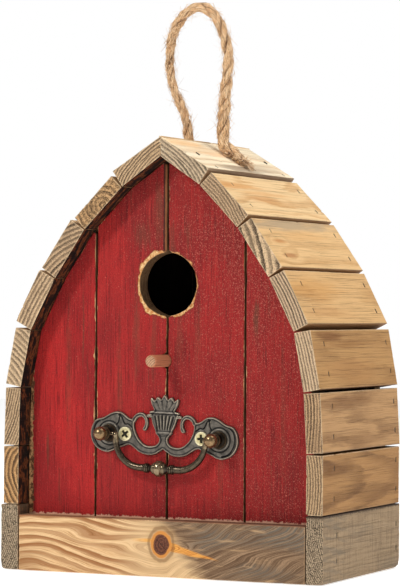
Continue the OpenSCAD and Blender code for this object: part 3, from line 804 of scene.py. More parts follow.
def metal(name, dark, mid, light, rough=0.42, scale=0.35, metallic=0.85, wear_and_painted_light=0.9, grime=0.5):
    """Cast or plated metal with patina; the per-point attribute marks rubbed places and painted highlights (up to 1),
    and dark places below 0: patina in hollows and painted shade on shaded sides and recesses.
    """
    M = Mat(name)
    tc = M.node("ShaderNodeTexCoord").outputs["Object"]
    P = M.vm("SCALE", tc, 1000.0)
    n1 = M.noise(P, scale, 4.0, 0.6)
    n2 = M.noise(P, scale * 6, 3.0, 0.6)
    wr = M.attr("wear_and_painted_light").outputs["Fac"]
    col = M.mix(M.step(n1, 0.35, 0.65), srgb(*dark), srgb(*mid))
    k = M.math("ADD", wr, M.math("MULTIPLY", M.math("SUBTRACT", n2, 0.5), 0.7))
    col = M.mix(M.step(k, 0.35, 0.95, 0.0, wear_and_painted_light), col, srgb(*light))
    col = M.mix(M.step(n2, 0.58, 0.72, 0.0, grime), col, srgb(*[x * 0.5 for x in dark]))
    # below 0: near-black, for patina in hollows and painted shade on shaded sides and recesses
    col = M.mix(M.step(wr, 0.0, -0.7), col, srgb(*[x * 0.22 for x in dark]))
    M.put(M.b.inputs["Base Color"], col)
    M.b.inputs["Metallic"].default_value = metallic
    M.put(M.b.inputs["Roughness"], M.math("SUBTRACT", M.lin(n2, 0.3, 0.7, rough - 0.06, rough + 0.16), M.math("MULTIPLY", wr, 0.12)))
    M.put(M.b.inputs["Normal"], M.bump(M.math("ADD", n2, M.math("MULTIPLY", n1, 0.6)), 0.08, 0.5))
    return M.m


def jute(name):
    M = Mat(name)
    tc = M.node("ShaderNodeTexCoord").outputs["Object"]
    P = M.vm("SCALE", tc, 1000.0)
    rope_shade = M.attr("rope_shade").outputs["Fac"]
    RP = M.attr("rp").outputs["Vector"]
    ln1 = M.noise(M.vm("MULTIPLY", RP, (2.1, 2.1, 0.16)), 1.0, 3.0, 0.65)
    ln2 = M.noise(M.vm("MULTIPLY", RP, (4.6, 4.6, 0.4)), 1.0, 2.0, 0.6)
    n1 = M.noise(P, 0.25, 3.0, 0.6)
    n2 = M.noise(P, 2.4, 3.0, 0.65)
    n3 = M.noise(M.vm("ADD", P, (31, 7, 3)), 0.9, 3.0, 0.6)
    col = M.mix(M.step(n1, 0.35, 0.65), srgb(246, 208, 162), srgb(224, 178, 130))
    col = M.mix(M.step(n2, 0.53, 0.68, 0.0, 0.75), col, srgb(136, 90, 54))
    col = M.mix(M.step(n3, 0.52, 0.68, 0.0, 0.55), col, srgb(240, 212, 174))
    col = M.mix(M.step(ln1, 0.53, 0.63, 0.0, 0.95), col, srgb(96, 58, 32))
    col = M.mix(M.step(ln1, 0.46, 0.34, 0.0, 0.85), col, srgb(250, 226, 190))
    col = M.mix(M.step(ln2, 0.55, 0.7, 0.0, 0.6), col, srgb(96, 60, 34))
    # painted shade: darker brown deep between the strands, where the attribute is low
    col = M.mix(M.step(rope_shade, 0.55, 0.08, 0.0, 0.85), col, srgb(98, 60, 34))
    M.put(M.b.inputs["Base Color"], col)
    M.put(M.b.inputs["Roughness"], M.lin(n2, 0.3, 0.7, 0.75, 0.95))
    M.b.inputs["Specular IOR Level"].default_value = 0.15
    M.b.inputs["Sheen Weight"].default_value = 0.15
    M.put(M.b.inputs["Normal"], M.bump(M.math("ADD", M.math("MULTIPLY", n2, 0.5), M.math("MULTIPLY", ln1, -1.4)), 0.5, 0.9))
    return M.m


# ---------------------------------------------------------------- camera

cam_data = bpy.data.cameras.new("camera")
cam = bpy.data.objects.new("camera", cam_data)
scene.collection.objects.link(cam)
az, el, roll = math.radians(25.163), math.radians(-0.397), math.radians(0.280)
right = Vector((math.cos(az), math.sin(az), 0))
back_v = Vector((math.sin(az) * math.cos(el), -math.cos(az) * math.cos(el), math.sin(el)))
up = back_v.cross(right)
r2 = math.cos(roll) * right + math.sin(roll) * up
u2 = -math.sin(roll) * right + math.cos(roll) * up
mat = Matrix((r2, u2, back_v)).transposed().to_4x4()
mat.translation = Vector((0.70106, -1.49756, 0.16378))
cam.matrix_world = mat
cam_data.sensor_width = 36
cam_data.lens = 158.17
cam_data.clip_start = 0.01
cam_data.clip_end = 50
cam_data.dof.use_dof = False
scene.camera = cam

# ---------------------------------------------------------------- rope

ROPE = [(-12, 1.5, 242), (-12, 1.5, 252), (-12, 1.5, 264), (-12, 1.5, 276), (-13, 1.5, 285), (-15.5, 1.5, 292.5), (-19, 1.5, 300),
        (-22.5, 1.5, 308), (-25, 1.5, 317), (-25.5, 1.5, 328), (-24.5, 1.5, 338), (-21.5, 1.5, 346.5), (-17, 1.5, 353),
        (-11, 1.5, 357.5), (-4, 1.5, 359.5), (3, 1.5, 356.5), (8, 1.5, 351), (12, 1.5, 343.5), (14.5, 1.5, 335),
        (16, 1.5, 325), (15.5, 1.5, 315), (14, 1.5, 304), (13.3, 1.5, 294), (13, 1.5, 285), (12.5, 1.5, 277.5),
        (12.7, 1.6, 272.6), (14, 2.1, 269.5), (16.8, 3, 267.2), (20.4, 4.1, 264.6), (22.8, 4.8, 260.6), (23.5, 5, 254.5), (23.5, 5, 247), (23.5, 5, 238)]


def catmull(pts, per):
    p = np.array(pts, float)
    n = len(p) - 1
    out = []
    for i in range(n):
        a, b, c, d = p[max(i - 1, 0)], p[i], p[i + 1], p[min(i + 2, n)]
        for t in np.arange(per) / per:
            out.append(0.5 * (2 * b + (c - a) * t + (2 * a - 5 * b + 4 * c - d) * t * t + (3 * b - a - 3 * c + d) * t ** 3))
    out.append(p[-1])
    return np.array(out)


def resample(path, step):
    s = np.concatenate([[0], np.cumsum(np.linalg.norm(np.diff(path, axis=0), axis=1))])
    n = int(s[-1] / step) + 1
    t = np.linspace(0, s[-1], n)
    return np.stack([np.interp(t, s, path[:, k]) for k in range(3)], 1), t


def frames(path, ref=(0.0, 1.0, 0.0)):
    t = np.gradient(path, axis=0)
    t /= np.linalg.norm(t, axis=1, keepdims=True)
    u = np.cross(t[0], ref)
    u /= np.linalg.norm(u)
    us = [u]
    for i in range(1, len(path)):
        w = us[-1] - t[i] * np.dot(us[-1], t[i])
        us.append(w / np.linalg.norm(w))
    us = np.array(us)
    return t, us, np.cross(t, us)


def strands(path, s, radius, lay, seed, step_sides=16, n_strands=3, loose=1.0):
    """Laid strands round the path, uneven as in hand-twisted jute. radius: rope radius per point, mm."""
    t, u, v = frames(path)
    parts, rope_shade, rps = [], [], []
    share = ((0.0, 0.58, 0.42), (0.42, 0.55, 0.44), (0.74, 0.42, 0.56))
    for k in range(n_strands):
        f0, thick, off = share[k]
        ph = 2 * np.pi * (s / lay + f0) + loose * 2.2 * (fbm(np.stack([s * 0.025, s * 0, s * 0 + 0.4 * k], 1), seed, 2) - 0.5)
        rr = radius * (off + 0.12 * (fbm(np.stack([s * 0.12, s * 0 + 3.3 * k, s * 0], 1), seed + 3, 2) - 0.5))
        line = path + (rr * np.cos(ph))[:, None] * u + (rr * np.sin(ph))[:, None] * v
        sr = radius * (thick + 0.2 * (fbm(np.stack([s * 0.16, s * 0 + 7.1 * k, s * 0], 1), seed + 8, 2) - 0.5))
        vt, ft = tube(line, sr, step_sides, twist=-2 * np.pi / (lay * 0.9) / 5.0, lobes=5, lobe_amp=0.10)
        # yarn texture: small bumps
        ctr = np.concatenate([np.repeat(path, step_sides, 0), path[:1], path[-1:]])
        dd = np.linalg.norm(vt - ctr, axis=1)
        rad = np.concatenate([np.repeat(radius, step_sides), radius[:1], radius[-1:]])
        vt = vt + (vt - ctr) / np.maximum(dd, 1e-6)[:, None] * (0.34 * (fbm(vt * 0.9, seed + 60 + k, 3) - 0.5))[:, None]
        parts.append((vt, ft))
        # 0 deep between the strands, 1 on their outsides: drives painted shade in the jute
        rope_shade.append(np.clip((dd / rad - 0.45) / 0.6, 0, 1))
        # a place on the yarns: round the strand and along it
        th = np.tile(np.linspace(0, 2 * np.pi, step_sides, endpoint=False), len(s)) + np.repeat(s, step_sides) * 0.32
        along = np.repeat(s, step_sides)
        th = np.concatenate([th, [0, 0]])
        along = np.concatenate([along, s[:1], s[-1:]])
        rps.append(np.stack([1.8 * np.cos(th) + 9 * k, 1.8 * np.sin(th), along], 1))
    vv, ff = join(parts)
    return vv, ff, np.concatenate(rope_shade), np.concatenate(rps)


JUTE = jute("jute")
rope_path, rope_s = resample(catmull(ROPE, 8), 0.95)
total = rope_s[-1]
rope_r = np.interp(rope_s, [0, 25, 60, 110, 150, 190, 225, 240, total], [3.0, 3.3, 2.9, 3.1, 3.5, 3.6, 4.1, 4.0, 3.5])
rope_r = rope_r * (1 + 0.16 * (fbm(np.stack([rope_s * 0.09, rope_s * 0, rope_s * 0], 1), 4, 2) - 0.5))
rv, rf, rc, rr_ = strands(rope_path, rope_s, rope_r, 27.0, 11)
rope = make_object("rope_loop_strands", rv, rf, JUTE, attrs={"rope_shade": rc, "rp": rr_})
place(rope, "house", "jute", "rope_loop")


def knot(name, centre, scale, node, seed):
    a = np.linspace(0, 2 * np.pi, 90, endpoint=True)
    k = np.stack([np.sin(a) + 2 * np.sin(2 * a), np.cos(a) - 2 * np.cos(2 * a), -1.1 * np.sin(3 * a)], 1)
    k = k * scale + np.array(centre)
    pth, s = resample(k, 0.9)
    vv, ff, cc, rr2 = strands(pth, s, np.full(len(s), 2.5), 16.0, seed, 10)
    o = make_object(name, vv, ff, JUTE, attrs={"rope_shade": cc, "rp": rr2})
    return place(o, "house", "jute", node)


knot_l = knot("rope_knot_left_tied", (-12, 1.5, 238.5), 1.35, "rope_knot_left", 5)
knot_r = knot("rope_knot_right_tied", (23, 5, 234.5), 1.35, "rope_knot_right", 6)

# loose fibres along the rope and the frayed end beside it
rng = np.random.default_rng(20)
fib = []
tt, uu, vv_ = frames(rope_path)


def fibre_tube(line, r):
    return tube(line, np.linspace(r, r * 0.45, len(line)), 3)


for k in range(1500):
    i = int(rng.integers(18, len(rope_path) - 30))
    a = rng.uniform(0, 2 * np.pi)
    nrm = math.cos(a) * uu[i] + math.sin(a) * vv_[i]
    side = math.cos(a + 1.57) * uu[i] + math.sin(a + 1.57) * vv_[i]
    ln = rng.uniform(2.5, 9.0)
    lift = rng.uniform(0.02, 0.2) if k % 3 else rng.uniform(0.2, 0.75)
    sign = rng.choice([-1, 1])
    base = rope_path[i] + nrm * rope_r[i] * 0.85
    if base[2] < 272:
        continue
    d0 = sign * tt[i] * (1 - lift * 0.5) + nrm * lift + side * rng.uniform(-0.7, 0.7)
    d0 /= np.linalg.norm(d0)
    cur = nrm * rng.uniform(-0.5, 0.3) + side * rng.uniform(-0.5, 0.5)
    q = np.linspace(0, 1, 6)[:, None]
    line = base + d0 * ln * q + cur * ln * 0.45 * q ** 2 + rng.normal(0, 0.08, (6, 3)) * q
    line[:, 2] = np.minimum(line[:, 2], 362.0)
    fib.append(fibre_tube(line, rng.uniform(0.09, 0.17) if k % 3 else rng.uniform(0.06, 0.11)))
n_fine = len(fib)
# the worn tuft where the rope goes down through the right ridge board
for k in range(430):
    a = rng.uniform(-1.7, 1.7)
    bx = rng.uniform(12.5, 28.0)
    base = np.array([bx, 1.5 + (bx - 12.5) * 0.3 + rng.normal(0, 1.9 + 0.09 * (bx - 12.5)), 0.0])
    base[2] = 275.4 - base[0] * 0.6745 + rng.uniform(-0.8, 2.6)
    d0 = np.array([math.cos(a), -0.6 * math.sin(a) - 0.2, -0.67 * math.cos(a) + rng.uniform(0.1, 0.9)])
    d0 /= np.linalg.norm(d0)
    ln = rng.uniform(1.8, 5.0)
    q = np.linspace(0, 1, 7)[:, None]
    line = base + d0 * ln * q + np.array([rng.uniform(-2, 2.0), rng.uniform(-2, 2), rng.uniform(-3.0, 0.4)]) * q ** 2 + 0.5 * np.sin(q * rng.uniform(3, 9)) * rng.normal(0, 0.6, 3)
    line[:, 2] = np.maximum(line[:, 2], 274.4 - line[:, 0] * 0.6745 + 0.3)
    fib.append(fibre_tube(line, rng.uniform(0.22, 0.46)))
fv, ff_ = join(fib)
shade = [0.85] * n_fine + [float(z) for z in rng.uniform(0.3, 1.0, len(fib) - n_fine)]
fuzz = make_object("rope_fibres", fv, ff_, JUTE, attrs={
    "rope_shade": np.concatenate([np.full(len(f[0]), c_) for f, c_ in zip(fib, shade)]),
    "rp": np.concatenate([np.tile([0.37 * j, 0.11 * j, 0.0], (len(f[0]), 1)) for j, f in enumerate(fib)])})
place(fuzz, "house", "jute")

# ---------------------------------------------------------------- slats

HALF, BASE_H, PITCH, GAP, ST, RT = 98.7, 41.3, 37.0, 0.6, 11.0, 12.0
BASE_T = {"left": 12.5, "right": 11.5}
EXTRA = {"left": [0, 0, 0, 1.5, 0.7, -0.7, 0], "right": [0, 0, 0, 0, 0, 0, 0]}
OVER = [0, 1.5, 2.5, 4, 4.5, 5, 5.5]        # how far the slats run past the back, from the lowest
SLOPE = {"left": [89.8, 88.2, 79.0, 62.4, 55.8, 45.2, 35.0], "right": [90.2, 86.8, 79.9, 63.3, 55.4, 46.0, 34.0]}
FRONT, BACK = -64.5, 64.5
DEPTH = BACK - FRONT
PLANK_Y, FRONT_T, BACK_T = -51.5, 12.0, 11.0
BRAD_Y = (PLANK_Y + FRONT_T / 2, BACK - BACK_T / 2)
BASE_BRAD_Y = (PLANK_Y + 0.8 * FRONT_T, BACK - BACK_T / 2)


def corner(side, i):
    p = np.array([HALF, BASE_H])
    for k in range(i):
        s = math.radians(SLOPE[side][k])
        p = p + PITCH * np.array([-math.cos(s), math.sin(s)])
    return p


# tones: tops long_a / long_b, ends end_a / end_b; places in mm: v up the slope, u back from the front, w in from outside
LOOK = {
    ("right", 1): dict(pith=(33, 66), spacing=2.35, warp=1.6, long_a=(254, 236, 204), long_b=(236, 182, 122), long_contrast=0.42,
                       end_a=(230, 202, 166), end_b=(62, 46, 32), end_contrast=1.1, speckle=0.4, streak=0.18,
                       patches=[(30, 22, 6, 34, 0.6, (240, 184, 118)), (20, 52, 3, 40, 0.5, (236, 176, 110)), (4, 62, 6, 46, 0.85, (168, 146, 122)), (8, 100, 8, 40, 0.5, (204, 180, 150))],
                       edge_light=0.35),
    ("right", 2): dict(pith=(30, 95), spacing=1.9, warp=2.6, long_a=(244, 208, 156), long_b=(224, 160, 92), long_contrast=0.5,
                       end_a=(218, 182, 142), end_b=(92, 68, 46), end_contrast=0.7, speckle=0.75, streak=0.25,
                       patches=[(27, 20, 3.5, 46, 0.7, (222, 158, 92)), (15, 46, 4, 34, 0.55, (214, 156, 98)), (21, 50, 2.5, 60, 0.5, (226, 166, 102))]),
    ("right", 3): dict(pith=(45, 81), spacing=4.6, warp=1.2, long_a=(236, 194, 138), long_b=(214, 158, 96), long_contrast=0.4,
                       end_a=(246, 210, 166), end_b=(66, 44, 28), end_contrast=1.15, speckle=0.5, streak=0.25,
                       knots=[(21, 22, -3.4, 4.4), (9.5, 28, -3.8, -4.4)],
                       patches=[(33, 60, 6, 90, 0.75, (178, 156, 128)), (20, 22, 2.4, 13, 0.7, (200, 134, 74)), (9, 27, 2.2, 15, 0.7, (178, 116, 66)), (25, 70, 5, 50, 0.35, (226, 170, 104))]),
    ("right", 4): dict(pith=(18, 140), spacing=1.9, warp=0.8, long_a=(224, 180, 124), long_b=(206, 152, 92), long_contrast=0.4,
                       end_a=(230, 196, 158), end_b=(84, 62, 42), end_contrast=0.95, speckle=0.4, streak=0.25,
                       patches=[(24, 30, 9, 60, 0.5, (214, 154, 84)), (8, 40, 5, 50, 0.4, (196, 140, 84))]),
    ("right", 5): dict(pith=(6, 190), spacing=1.9, warp=1.4, long_a=(186, 142, 90), long_b=(158, 112, 66), long_contrast=0.45,
                       end_a=(236, 202, 162), end_b=(104, 78, 52), end_contrast=0.85, speckle=0.35, streak=0.4, tilt=0.012,
                       patches=[(31, 30, 6, 26, 0.85, (128, 84, 46)), (28, 62, 5, 30, 0.6, (138, 94, 52)), (12, 60, 9, 60, 0.4, (184, 134, 82))]),
    ("right", 6): dict(pith=(26, 170), spacing=2.1, warp=2.0, long_a=(186, 144, 98), long_b=(144, 104, 66), long_contrast=0.55,
                       end_a=(218, 178, 134), end_b=(88, 60, 38), end_contrast=0.8, speckle=0.55, streak=0.5, tilt=-0.012,
                       patches=[(30, 40, 5, 60, 0.6, (128, 88, 52)), (6, 70, 6, 50, 0.5, (132, 94, 58))]),
    ("right", 7): dict(pith=(18, 90), spacing=1.8, warp=1.2, long_a=(172, 128, 80), long_b=(132, 92, 54), long_contrast=0.6,
                       end_a=(220, 182, 138), end_b=(78, 56, 36), end_contrast=0.85, speckle=0.45, streak=0.5, tilt=0.02, 
                       patches=[(28, 20, 6, 40, 0.6, (114, 76, 42)), (10, 80, 7, 50, 0.5, (118, 82, 48))]),
    ("left", 1): dict(pith=(33, 64), spacing=2.0, warp=1.8, long_a=(226, 192, 146), long_b=(196, 146, 92), long_contrast=0.5,
                      end_a=(232, 194, 150), end_b=(78, 56, 38), end_contrast=0.95, speckle=0.55, streak=0.35,
                      patches=[(20, 30, 8, 60, 0.4, (190, 140, 88))]),
    ("left", 2): dict(pith=(20, 8), spacing=3.4, warp=3.2, long_a=(218, 178, 128), long_b=(188, 136, 84), long_contrast=0.5,
                      end_a=(222, 176, 124), end_b=(92, 64, 38), end_contrast=0.7, speckle=0.85, streak=0.35),
    ("left", 3): dict(pith=(-10, 65), spacing=3.0, warp=1.2, long_a=(214, 178, 134), long_b=(176, 130, 84), long_contrast=0.5,
                      end_a=(220, 184, 144), end_b=(60, 44, 28), end_contrast=1.1, speckle=0.6, streak=0.35),
    ("left", 4): dict(pith=(10, 190), spacing=2.7, warp=1.2, long_a=(208, 168, 122), long_b=(172, 126, 80), long_contrast=0.5,
                      end_a=(236, 200, 158), end_b=(80, 52, 32), end_contrast=0.85, speckle=0.45, streak=0.4, tilt=0.012),
    ("left", 5): dict(pith=(-60, -50), spacing=3.1, warp=2.6, long_a=(206, 166, 120), long_b=(170, 124, 78), long_contrast=0.5,
                      end_a=(238, 204, 162), end_b=(92, 64, 42), end_contrast=0.75, speckle=0.45, streak=0.4),
    ("left", 6): dict(pith=(48, -90), spacing=1.75, warp=1.3, long_a=(198, 160, 116), long_b=(160, 118, 76), long_contrast=0.5,
                      end_a=(222, 186, 144), end_b=(84, 60, 38), end_contrast=0.8, speckle=0.5, streak=0.45, tilt=-0.012),
    ("left", 7): dict(pith=(18, 26), spacing=3.0, warp=4.0, long_a=(196, 154, 108), long_b=(158, 112, 68), long_contrast=0.5,
                      end_a=(226, 174, 116), end_b=(98, 62, 34), end_contrast=0.85, speckle=0.45, streak=0.45, tilt=0.02),
}

for side in ("left", "right"):
    sx = 1.0 if side == "right" else -1.0
    for k in range(1, 8):
        i = 7 - k
        s = math.radians(SLOPE[side][i])
        p = corner(side, i)
        t = RT if k == 1 else ST + EXTRA[side][i]
        seed = k * 7 + (100 if side == "left" else 0)
        ev = np.array([-math.cos(s), math.sin(s)])
        en = np.array([math.sin(s), math.cos(s)])
        if k == 1:
            vend0 = (p[0] + t * math.sin(s) - 0.2) / math.cos(s)
            vmid = (p[0] + 0.5 * t * math.sin(s) - 0.2) / math.cos(s)
            length = vmid - GAP / 2

            def shear(q, s=s, t=t, length=length):
                q = q.copy()
                q[:, 0] += (q[:, 0] / length) * (0.5 * t - q[:, 2]) * math.tan(s)
                return q
            places = [31 * f - 4 for f in (0.26, 0.76)]
        else:
            length = PITCH - GAP
            shear = None
            places = [PITCH * f for f in (0.26, 0.76)]
        rng_s = np.random.default_rng(seed)
        skew = rng_s.uniform(-0.35, 0.35)
        back_cut = rng_s.uniform(0.0, 0.9)

        def to_world(q, p=p, ev=ev, en=en, t=t, sx=sx, skew=skew, back_cut=back_cut, k=k, long_l=DEPTH + OVER[i], length=length):
            vv2 = q[:, 0] + GAP / 2
            # a slight skew and hand-cut ends, always inside the slat's own space
            u = q[:, 1]
            drop = np.abs(skew) + skew * (u / DEPTH * 2 - 1) if k > 1 else 0 * u
            y = FRONT + 0.05 + u * (long_l - 0.1 - 0.5 * back_cut) / long_l
            w = q[:, 2]
            if k == 1:
                # the ridge boards wind: at the front their mitre edge lies lower than at the back
                w = w + (q[:, 0] / length) * (1.7 * np.clip(1 - u / 100.0, 0, 1) + 1.3 * np.clip(u / 100.0, 0, 1.2)) * (w < t * 0.5)
            x = p[0] + (vv2) * ev[0] + (t - w - 0.35 * drop * (w < t * 0.9)) * en[0]
            z = p[1] + (vv2) * ev[1] + (t - w - 0.35 * drop * (w < t * 0.9)) * en[1]
            return np.column_stack([sx * x, y, z])

        look = dict(LOOK[(side, k)])
        look.setdefault("seed", seed * 0.37)
        long_l = DEPTH + OVER[i]
        if side == "left":
            look["charred"] = (t, 13.5, 1.0)
        else:
            look["charred"] = (t, 13.5, 0.5)
        look["low_edge"] = 0.75
        m = wood("wood_slat_%s_%d" % (side, k), **look)
        brad_at = [(f - GAP / 2, y - FRONT) for f in places for y in BRAD_Y]
        notch = (66.6, 67.6, 19.0, 1.3) if (side == "right" and k == 1) else None
        o = board("slat_%s_%d_board" % (side, k), (length, long_l, t), to_world, m, seed, brads=brad_at, shear=shear, notch=notch,
                  steps=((1.3, 2.6, 1.2)))
        place(o, "house", "slat_pine", "slat_%s_%d" % (side, k))

# brad heads, sunk in the slats and base boards
bp_, bf_ = [], []
rng = np.random.default_rng(3)


def brad_head(frame_fn, turn):
    a = np.array([-1.5, -1.38, 1.38, 1.5])
    b = np.array([-0.6, -0.48, 0.48, 0.6])
    c = np.array([0.0, 0.14, 0.55])
    pts, fcs = box_lattice(a + 1.5, b + 0.6, c)
    pts = pts - [1.5, 0.6, 0]
    q = np.clip(pts, [-1.38, -0.48, 0.13], [1.38, 0.48, 0.42])
    dlt = pts - q
    m = np.linalg.norm(dlt, axis=1, keepdims=True)
    pts = q + dlt / np.maximum(m, 1e-9) * np.minimum(m, 0.12)
    pts[:, 2] -= 0.09 * np.cos(pts[:, 0] * 1.1) * (pts[:, 2] < 0.3)
    ca, sa = math.cos(turn), math.sin(turn)
    x = pts[:, 0] * ca - pts[:, 1] * sa
    y = pts[:, 0] * sa + pts[:, 1] * ca
    return frame_fn(np.column_stack([x * 0.96, y * 0.92, pts[:, 2] + 0.42])), fcs


heads = []
for side in ("left", "right"):
    sx = 1.0 if side == "right" else -1.0
    for k in range(1, 8):
        i = 7 - k
        s = math.radians(SLOPE[side][i])
        p = corner(side, i)
        t = RT if k == 1 else ST + EXTRA[side][i]
        ev = np.array([-math.cos(s), math.sin(s)])
        en = np.array([math.sin(s), math.cos(s)])
        for f in (0.26, 0.76):
            along = 31 * f - 4 if k == 1 else PITCH * f
            for y in BRAD_Y:
                def fr(q, p=p, ev=ev, en=en, t=t, sx=sx, along=along, y=y):
                    vv2 = along + q[:, 0]
                    x = p[0] + vv2 * ev[0] + (t - q[:, 2]) * en[0]
                    z = p[1] + vv2 * ev[1] + (t - q[:, 2]) * en[1]
                    return np.column_stack([sx * x, y + q[:, 1], z])
                heads.append(brad_head(fr, rng.uniform(-0.1, 0.1)))
    for z in (13, 28.5):
        for y in BASE_BRAD_Y:
            heads.append(brad_head(lambda q, sx=sx, z=z, y=y, bt=BASE_T[side]: np.column_stack([sx * (HALF + bt - q[:, 2]), y + q[:, 1], z + q[:, 0]]), rng.uniform(-0.1, 0.1)))
hv, hf = join(heads)
STEEL = metal("brad_steel", (26, 21, 18), (42, 34, 28), (90, 80, 70), rough=0.55, metallic=0.4, wear_and_painted_light=0.2)
o = make_object("brad_heads", hv, hf, STEEL, attrs={"wear_and_painted_light": np.zeros(len(hv))})
place(o, "house", "dark_steel", "brads")

# ---------------------------------------------------------------- base boards, rail, floor

for side in ("left", "right"):
    sx = 1.0 if side == "right" else -1.0
    bt = BASE_T[side]
    if side == "right":
        m = wood("wood_base_right", pith=(40, -60), spacing=1.3, warp=2.0, long_a=(160, 136, 106), long_b=(122, 98, 74), long_contrast=0.35,
                 end_a=(200, 176, 144), end_b=(110, 86, 64), end_contrast=0.8, speckle=0.95, streak=0.4, grey=0.4, grey_col=(128, 112, 92),
                 seed=4.2, edge_light=0.2, edge_col=(186, 158, 124), dark_edge=[(0, 41.8, 2.3, 0.9)], rough=0.78, saw=(0.32, 0.7),
                 waves=(0.3, 46), lines_=0.2)
    else:
        m = wood("wood_base_left", pith=(40, -60), spacing=1.3, warp=2.2, long_a=(166, 140, 108), long_b=(126, 100, 74), long_contrast=0.35,
                 end_a=(204, 180, 148), end_b=(112, 88, 64), end_contrast=0.8, speckle=0.95, streak=0.4, grey=0.4, grey_col=(132, 114, 92),
                 seed=8.1, edge_light=0.2, edge_col=(186, 158, 124), charred=(bt, 13.5, 0.6), rough=0.78, saw=(0.32, 0.7), lines_=0.2)

    def base_world(q, sx=sx, bt=bt):
        return np.column_stack([sx * (HALF + bt - q[:, 2]), FRONT + 0.05 + q[:, 1] * (DEPTH - 0.4) / DEPTH, q[:, 0]])

    def soft(q, bt=bt, side=side):
        near = sstep(q[:, 0], 7, 0) * sstep(q[:, 2], 6, 0)
        r = near * 1.7 + sstep(q[:, 0], 8, 0) * sstep(q[:, 1], 120, 128) * 1.0
        if side == "left":
            r = r + sstep(q[:, 0], 37, 41) * sstep(q[:, 2], bt - 4, bt) * sstep(q[:, 1], 8, 0) * 1.3
        return r

    o = board("base_side_%s_board" % side, (41.3, DEPTH, bt), base_world, m, 60 + (side == "left"), soft_edge=soft, rough=0.2,
              brads=[(z, y - FRONT) for z in (13, 28.5) for y in BASE_BRAD_Y], steps=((1.3, 2.6, 1.2)))
    place(o, "house", "base_wood", "base_side_%s" % side)


